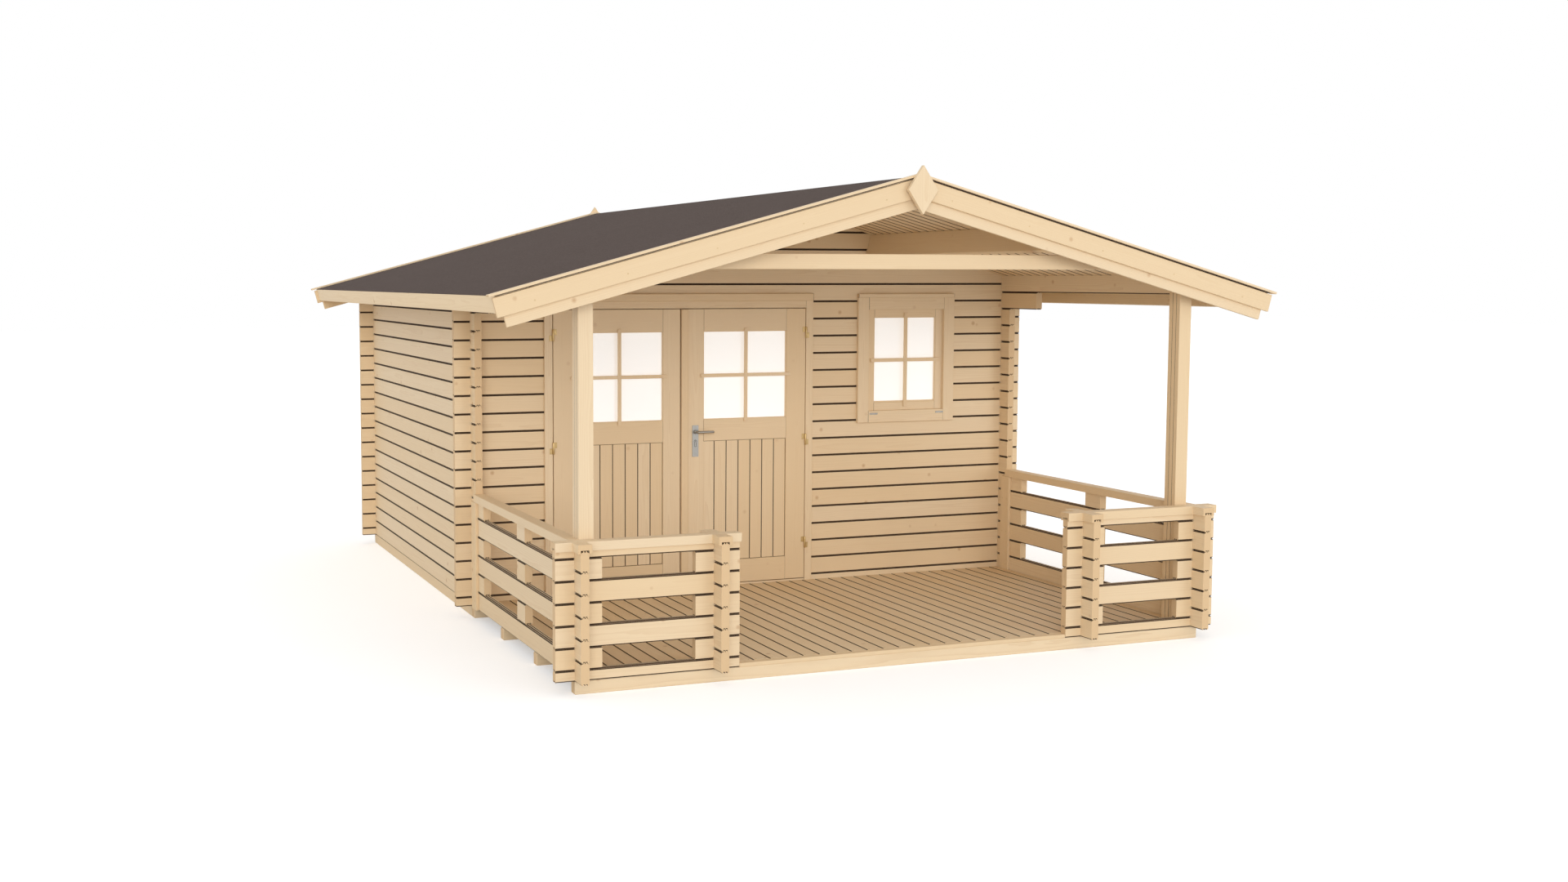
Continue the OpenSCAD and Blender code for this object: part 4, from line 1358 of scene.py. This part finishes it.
def smooth_turned(piece):
    """Smooth shading, with the sharp edges kept."""
    piece.data.shade_smooth()
    bm = bmesh.new()
    bm.from_mesh(piece.data)
    for edge in bm.edges:
        edge.smooth = edge.calc_face_angle(0) < SMOOTH_BELOW
    bm.to_mesh(piece.data)
    bm.free()


class GARDENHOUSE_OT_hinges(Operator):
    """Turns the hinge barrels with their caps, and cuts their screwed plates"""
    bl_idname = "garden_house.hinges"
    bl_label = "Hinges"

    def execute(self, context):
        for node, body in (("frame_hinges", "house"), ("left_hinges", "left_door_leaf"),
                           ("right_hinges", "right_door_leaf")):
            bm = bmesh.new()
            plain = node_mesh(node)
            for group in islands(plain):
                self.knuckle(bm, group, node)
            plain.free()
            bmesh.ops.recalc_face_normals(bm, faces=bm.faces)
            piece = place(node + "_turned", bm, ("zinc",), "hinge_metal", body, (node,))
            smooth_turned(piece)
        return {"FINISHED"}

    def knuckle(self, bm, group, node):
        """One barrel with a rounded cap, and the plate that is screwed to the wood."""
        low, high = extent(group)
        joint = min((j for j in frame["joints"] if j["name"] != "door_lever"),
                    key=lambda j: abs(j["pos_m"][0] - (low.x + high.x) / 2))
        axis_x, axis_y = joint["pos_m"][0], joint["pos_m"][1]
        radius = axis_y - low.y
        tall = high.z - low.z
        cap = radius * 0.35
        upper = node != "frame_hinges"
        rounded = [(0, tall), (radius * 0.6, tall), (radius * 0.9, tall - cap * 0.4),
                   (radius, tall - cap)]
        profile = ([(0, 0), (radius, 0)] + rounded[::-1] if upper
                   else [(0, 0), (radius * 0.6, 0), (radius * 0.9, cap * 0.4), (radius, cap),
                         (radius, tall), (0, tall)])
        turned(bm, profile, Vector((axis_x, axis_y, low.z)), Z)
        plate, neck, ease = 0.0028, 0.0035, 0.0006
        bottom, top = low.z + 0.001, high.z - 0.001
        side = 1 if (low.x + high.x) / 2 > axis_x else -1
        end = high.x if side > 0 else low.x
        start = axis_x + side * neck
        face = high.y
        x0, x1 = sorted((start, end))
        board(bm, (x0, face - plate, bottom), (x1, face, top), ease=ease)
        x0, x1 = sorted((axis_x, start + side * 0.002))
        board(bm, (x0, axis_y + radius * 0.3, bottom), (x1, face, top), ease=ease)
        points = [Vector((end - side * 0.008, face - plate, low.z + tall * t))
                  for t in (0.25, 0.75)]
        screws(bm, points, -Y)


def lever_axis():
    """The middle of the lever's spindle."""
    joint = next(j for j in frame["joints"] if j["name"] == "door_lever")
    return Vector(joint["pos_m"])


class GARDENHOUSE_OT_lock(Operator):
    """Cuts the lock plates, and fits the lock cylinder with its keyway"""
    bl_idname = "garden_house.lock"
    bl_label = "Lock plates"

    def execute(self, context):
        size = house().fittings
        low, high = lowest("lock_plates"), highest("lock_plates")
        axis = lever_axis()
        key = axis - Z * size.keyhole_drop
        door = house().door
        thick = (high.y - low.y - door.leaf_thickness) / 2
        way_half, way_deep, way_tall, slot_reach = 0.0012, 0.0025, 0.0045, 0.0055
        bm = bmesh.new()
        bores = bmesh.new()
        tunnel(bores, axis, SPINDLE_BORE)
        self.cylinder(bores, key, -0.2, 0.2, size.cylinder_gap)
        barrel, ways, shade = bmesh.new(), bmesh.new(), bmesh.new()
        for y0, y1, out in ((low.y, low.y + thick, -1), (high.y - thick, high.y, 1)):
            verts = block(bm, (low.x, y0, low.z), (high.x, y1, high.z))
            corners = [e for e in {e for v in verts for e in v.link_edges}
                       if abs((e.verts[0].co - e.verts[1].co).y) > thick * 0.5]
            bmesh.ops.bevel(bm, geom=corners, offset=size.plate_corner, segments=4,
                            profile=0.5, affect="EDGES", material=-1)
            face = y0 if out < 0 else y1
            self.cylinder(barrel, key, face - axis.y, face - out * thick - axis.y, 0)
            # shade is a dark filler behind the gap round the cylinder: painted shade.
            self.cylinder(shade, key, face - out * 0.002 - axis.y,
                          face - out * thick - axis.y, size.cylinder_gap - 0.0001)
            block(ways, (key.x - way_half, face - way_deep, key.z - way_tall),
                  (key.x + way_half, face + way_deep, key.z + way_tall))
        bm = carve(bm, bores)
        for y, normal in ((low.y, -Y), (high.y, Y)):
            points = [Vector((axis.x, y, z)) for z in (low.z + 0.012, high.z - 0.012)]
            screws(bm, points, normal)
        bmesh.ops.recalc_face_normals(bm, faces=bm.faces)
        piece = place("lock_plate_pair", bm, ("aluminium",), "fittings", "right_door_leaf",
                      ("lock_plates",))
        smooth_turned(piece)
        bmesh.ops.recalc_face_normals(shade, faces=shade.faces)
        place("lock_cylinder_gap_painted_shade", shade, ("slot",), "fittings", "right_door_leaf")
        barrel = carve(barrel, ways)
        bmesh.ops.recalc_face_normals(barrel, faces=barrel.faces)
        # The keyway's faces take the dark slot finish: painted shade in the keyway.
        for face in barrel.faces:
            if (face.calc_center_median() - key).xz.length < slot_reach and abs(
                    face.calc_center_median().y - axis.y) < (high.y - low.y) / 2 - 0.0005:
                face.material_index = 1
        smooth_turned(place("lock_cylinder", barrel, ("aluminium", "slot"), "fittings",
                            "right_door_leaf"))
        return {"FINISHED"}

    def cylinder(self, bm, key, y0, y1, play):
        """The lock cylinder's shape: round above, with a narrower round-ended foot."""
        size = house().fittings
        big, small = size.cylinder_radius + play, size.cylinder_radius * 0.6 + play
        foot = big + small - size.cylinder_height - 2 * play
        join = math.asin(small / big)
        arc = 16
        outline = [(big * math.sin(a), big * math.cos(a)) for a in
                   [join - math.pi + (2 * math.pi - 2 * join) * i / arc for i in range(arc + 1)]]
        outline += [(small * math.cos(a), foot - small * math.sin(a)) for a in
                    [math.pi * i / 8 for i in range(9)]]
        prism(bm, outline, Vector((key.x, lever_axis().y + y0, key.z)), X, Z,
              Y * (y1 - y0))


class GARDENHOUSE_OT_lever(Operator):
    """Bends the lever from round bar, one on each side of the door, on one spindle"""
    bl_idname = "garden_house.lever"
    bl_label = "Lever"

    def execute(self, context):
        axis = lever_axis()
        low, high = lowest("lever_handle"), highest("lever_handle")
        size = house().fittings
        plate_low, plate_high = lowest("lock_plates").y, highest("lock_plates").y
        bm = bmesh.new()
        for out, plate, reach in ((-1, plate_low, low.y), (1, plate_high, high.y)):
            start = Vector((axis.x, plate + out * 0.001, axis.z))
            profile = [(0, 0), (size.boss_radius, 0), (size.boss_radius, 0.005),
                       (size.boss_radius * 0.86, size.boss_length),
                       (0, size.boss_length)]
            turned(bm, profile, start, Y * out)
            self.grip(bm, start + Y * out * (size.boss_length - 0.001), out,
                      abs(reach - start.y) - size.boss_length, high.x)
        bmesh.ops.recalc_face_normals(bm, faces=bm.faces)
        turned(bm, [(0, 0), (0.0045, 0), (0.0045, plate_high - plate_low + 0.004),
                    (0, plate_high - plate_low + 0.004)],
               Vector((axis.x, plate_low - 0.002, axis.z)), Y)
        bmesh.ops.recalc_face_normals(bm, faces=bm.faces)
        smooth_turned(place("lever_pair", bm, ("aluminium",), "fittings", "lever",
                            ("lever_handle",)))
        return {"FINISHED"}

    def grip(self, bm, start, out, reach, end_x):
        """The neck, its bend and the grip with a rounded end."""
        size = house().fittings
        radius, bend = size.lever_radius, size.lever_bend
        neck = reach + 0.001 - radius - bend
        turn = Matrix.Translation(start) @ Matrix.Rotation(-out * math.pi / 2, 4, "X")
        made = bmesh.ops.create_circle(bm, cap_ends=True, segments=24, radius=radius,
                                       matrix=turn)
        face = made["verts"][0].link_faces[0]

        def draw(face, vec=None, scale=None, about=None):
            grown = bmesh.ops.extrude_face_region(bm, geom=[face])["geom"]
            verts = [g for g in grown if isinstance(g, bmesh.types.BMVert)]
            if vec:
                bmesh.ops.translate(bm, vec=vec, verts=verts)
            if scale:
                bmesh.ops.scale(bm, vec=(scale,) * 3, verts=verts,
                                space=Matrix.Translation(-about))
            return [g for g in grown if isinstance(g, bmesh.types.BMFace)][0]

        face = draw(face, Y * out * neck)
        pivot = start + Y * out * neck + X * bend
        made = bmesh.ops.spin(bm, geom=[face], cent=pivot, axis=Z * -out,
                              angle=math.pi / 2, steps=10, use_duplicate=False)
        face = [g for g in made["geom_last"] if isinstance(g, bmesh.types.BMFace)][0]
        centre = face.calc_center_median()
        face = draw(face, X * (end_x - radius - centre.x))
        steps = 5
        shrink = 1.0
        for i in range(1, steps + 1):
            angle = math.pi / 2 * i / steps
            previous = math.pi / 2 * (i - 1) / steps
            wanted = max(math.cos(angle), 0.12)
            vec = X * radius * (math.sin(angle) - math.sin(previous))
            about = face.calc_center_median() + vec
            face = draw(face, vec, wanted / shrink, about)
            shrink = wanted


class GARDENHOUSE_OT_window(Operator):
    """Makes the window: casing, drip board, sash, glazing bars and the clips on its sill"""
    bl_idname = "garden_house.window"
    bl_label = "Window"

    def execute(self, context):
        size = house().window
        left, right = lowest("window_casing").x, highest("window_casing").x
        bottom = lowest("window_casing").z
        top = highest("window_casing").z - size.drip
        drip_front = lowest("window_casing").y
        inside = FRONT + THICK
        back = highest("window_casing").y
        x0, x1 = left + size.face, right - size.face
        z0, z1 = bottom + size.sill, top - size.head
        upright, level = bmesh.new(), bmesh.new()
        play = LINING_PLAY
        lining_top = course(OPENING_TOP) - play
        for y0, y1 in ((FRONT - size.front, FRONT), (inside, back)):
            board(upright, (left, y0, bottom), (x0, y1, top))
            board(upright, (x1, y0, bottom), (right, y1, top))
            board(level, (x0, y0, z1), (x1, y1, top))
            board(level, (x0, y0, bottom), (x1, y1, z0))
        hole_left, hole_right = left + size.lap + play, right - size.lap - play
        hole_bottom = bottom + size.sill_lap + play
        board(upright, (hole_left, FRONT, hole_bottom), (x0, inside, lining_top))
        board(upright, (x1, FRONT, hole_bottom), (hole_right, inside, lining_top))
        board(level, (x0, FRONT, z1), (x1, inside, lining_top))
        board(level, (x0, FRONT, hole_bottom), (x1, inside, z0))
        board(level, (left, drip_front, top), (right, FRONT, top + size.drip), ease=0.003,
              segments=2)
        place_wood("window_casing_uprights", upright, Z, "joinery", "joinery",
                   nodes=("window_casing",))
        place_wood("window_casing_rails", level, X, "joinery", "joinery", joints="ends")
        self.sash(x0, x1, z0, z1)
        self.clips(x0, x1, z0)
        return {"FINISHED"}

    def sash(self, x0, x1, z0, z1):
        """The sash in the casing's opening, with its beads and bars."""
        size = house().window
        back = FRONT + size.thickness
        left, right = x0 + size.stile, x1 - size.stile
        bottom, top = z0 + size.bottom_rail, z1 - size.top_rail
        upright, level = bmesh.new(), bmesh.new()
        board(upright, (x0, FRONT, z0), (left, back, z1), segments=2)
        board(upright, (right, FRONT, z0), (x1, back, z1), segments=2)
        board(level, (left, FRONT, z0), (right, back, bottom), segments=2)
        board(level, (left, FRONT, top), (right, back, z1), segments=2)
        pane_low, pane_high = lowest("window_pane").y, highest("window_pane").y
        for y0, y1 in ((FRONT + 0.004, pane_low - 0.0003), (pane_high + 0.0003, back - 0.004)):
            beads(upright, level, left, right, bottom, top, y0, y1, size.low_bead)
        place_wood("window_sash_uprights", upright, Z, "joinery", "joinery",
                   nodes=("window_sash",))
        place_wood("window_sash_rails", level, X, "joinery", "joinery", joints="ends")
        bars = bmesh.new()
        glass_bars(bars, left, right, bottom, top, FRONT, size.bar_width,
                   house().door.bar_thickness, size.bar_lap_side, size.bar_lap_end)
        place_wood("window_bars", bars, Z, "joinery", "joinery")

    def clips(self, x0, x1, z0):
        """The two metal clips on the sill, under the sash."""
        size = house().window
        inset, plate, screw_inset = 0.01, 0.003, 0.012
        face = FRONT - size.front
        bm = bmesh.new()
        top = z0 - size.clip_drop
        for a, b in ((x0 + inset, x0 + inset + size.clip_width),
                     (x1 - size.clip_width, x1)):
            board(bm, (a, face - plate, top - size.clip_height), (b, face, top), ease=0.001)
            points = [Vector((x, face - plate, top - size.clip_height / 2))
                      for x in (a + screw_inset, b - screw_inset)]
            screws(bm, points, -Y)
        bmesh.ops.recalc_face_normals(bm, faces=bm.faces)
        place("window_clips", bm, ("aluminium",), "fittings")


# ---------------------------------------------------------------- studio

CAMERA_AT = (-4.431, -10.360, 2.095)
CAMERA_DOWN = 4.67      # degrees
CAMERA_ROUND = 20.37    # degrees to the right of straight at the front
CAMERA_LENS = 37.62     # mm, on a sensor 36 mm wide
CAMERA_SHIFT = (0.0907, -0.0178)


class GARDENHOUSE_OT_studio(Operator):
    """Sets the pale floor, the white surroundings, the soft lamps and the camera"""
    bl_idname = "garden_house.studio"
    bl_label = "Studio"

    def execute(self, context):
        scene = context.scene
        scene.view_settings.view_transform = "Standard"
        self.floor()
        self.surroundings(scene)
        self.lamp("key", (-6, -13, 3.2), 0.8)
        self.lamp("fill", (7, -12, 1.6), 0.4)
        self.camera(scene)
        return {"FINISHED"}

    def floor(self):
        """A pale matt floor, lifted to white where the camera sees it."""
        bm = bmesh.new()
        bmesh.ops.create_grid(bm, x_segments=1, y_segments=1, size=60)
        mesh = bpy.data.meshes.new("studio_floor")
        bm.to_mesh(mesh)
        bm.free()
        floor = bpy.data.objects.new("studio_floor", mesh)
        bpy.context.scene.collection.objects.link(floor)
        material = start_material("pale_studio_floor")
        tree = material.node_tree
        matt = add(tree, "BsdfDiffuse", {"Color": (*house().finishes.floor, 1)})
        glow = add(tree, "Emission", {"Color": (1, 1, 1, 1)})
        seen = add(tree, "LightPath").outputs["Is Camera Ray"]
        lift = add(tree, "Math", {0: seen, 1: 0.36}, operation="MULTIPLY").outputs[0]
        tree.links.new(lift, glow.inputs["Strength"])
        both = add(tree, "AddShader", {0: matt.outputs[0], 1: glow.outputs[0]})
        add(tree, "OutputMaterial", {"Surface": both.outputs[0]})
        mesh.materials.append(material)

    def surroundings(self, scene):
        """Soft light from all round, and plain white behind the house."""
        world = bpy.data.worlds.new("white_studio")
        scene.world = world
        world.use_nodes = True
        tree = world.node_tree
        tree.nodes.clear()
        path = add(tree, "LightPath").outputs
        seen = add(tree, "Math", {0: path["Is Camera Ray"], 1: path["Is Glossy Ray"]},
                   operation="MAXIMUM").outputs[0]
        seen = add(tree, "Math", {0: seen, 1: path["Is Transmission Ray"]},
                   operation="MAXIMUM").outputs[0]
        light = add(tree, "Background", {"Color": (1, 1, 1, 1), "Strength": 0.8})
        white = add(tree, "Background", {"Color": (1, 1, 1, 1), "Strength": 1.0})
        mix = add(tree, "MixShader", {0: seen, 1: light.outputs[0], 2: white.outputs[0]})
        add(tree, "OutputWorld", {"Surface": mix.outputs[0]})

    def lamp(self, name, at, power):
        """A wide, far lamp that lights all of the house alike."""
        data = bpy.data.lights.new(name, "SUN")
        data.angle = math.radians(25)
        data.energy = power
        lamp = bpy.data.objects.new(name, data)
        lamp.location = at
        lamp.rotation_euler = (-Vector(at)).to_track_quat("-Z", "Y").to_euler()
        bpy.context.scene.collection.objects.link(lamp)

    def camera(self, scene):
        """The camera, left of the front and a little above eye level."""
        data = bpy.data.cameras.new("camera")
        data.sensor_width = 36
        data.lens = CAMERA_LENS
        data.shift_x, data.shift_y = CAMERA_SHIFT
        camera = bpy.data.objects.new("camera", data)
        camera.location = CAMERA_AT
        camera.rotation_euler = (math.radians(90 - CAMERA_DOWN), 0,
                                 math.radians(-CAMERA_ROUND))
        scene.collection.objects.link(camera)
        scene.camera = camera


# ---------------------------------------------------------------- add-on

MAKING_ORDER = (
    GARDENHOUSE_OT_bearers, GARDENHOUSE_OT_side_walls, GARDENHOUSE_OT_front_wall,
    GARDENHOUSE_OT_gables, GARDENHOUSE_OT_purlins, GARDENHOUSE_OT_veranda_frame,
    GARDENHOUSE_OT_side_railings, GARDENHOUSE_OT_front_railings,
    GARDENHOUSE_OT_railing_crossings, GARDENHOUSE_OT_handrails, GARDENHOUSE_OT_battens,
    GARDENHOUSE_OT_deck, GARDENHOUSE_OT_floor, GARDENHOUSE_OT_roof_boards,
    GARDENHOUSE_OT_felt, GARDENHOUSE_OT_verges, GARDENHOUSE_OT_door_frame,
    GARDENHOUSE_OT_door_leaves, GARDENHOUSE_OT_panes, GARDENHOUSE_OT_hinges,
    GARDENHOUSE_OT_lock, GARDENHOUSE_OT_lever, GARDENHOUSE_OT_window,
    GARDENHOUSE_OT_studio)


class GARDENHOUSE_PT_panel(Panel):
    """Lists the makers of the garden house"""
    bl_idname = "GARDENHOUSE_PT_panel"
    bl_label = "Garden house"
    bl_space_type = "VIEW_3D"
    bl_region_type = "UI"
    bl_category = "Garden house"

    def draw(self, context):
        for maker in MAKING_ORDER:
            self.layout.operator(maker.bl_idname)


SIZE_GROUPS = (LogSizes, BoardSizes, RailingSizes, RoofSizes, DoorSizes, WindowSizes,
               FittingSizes, Finishes, GardenHouse)
CLASSES = SIZE_GROUPS + MAKING_ORDER + (GARDENHOUSE_PT_panel,)


def register():
    for each in CLASSES:
        bpy.utils.register_class(each)
    bpy.types.Scene.garden_house = PointerProperty(type=GardenHouse)


def unregister():
    del bpy.types.Scene.garden_house
    for each in reversed(CLASSES):
        bpy.utils.unregister_class(each)


def main():
    """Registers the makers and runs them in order."""
    register()
    for maker in MAKING_ORDER:
        group, name = maker.bl_idname.split(".")
        getattr(getattr(bpy.ops, group), name)()


if __name__ == "__main__":
    main()
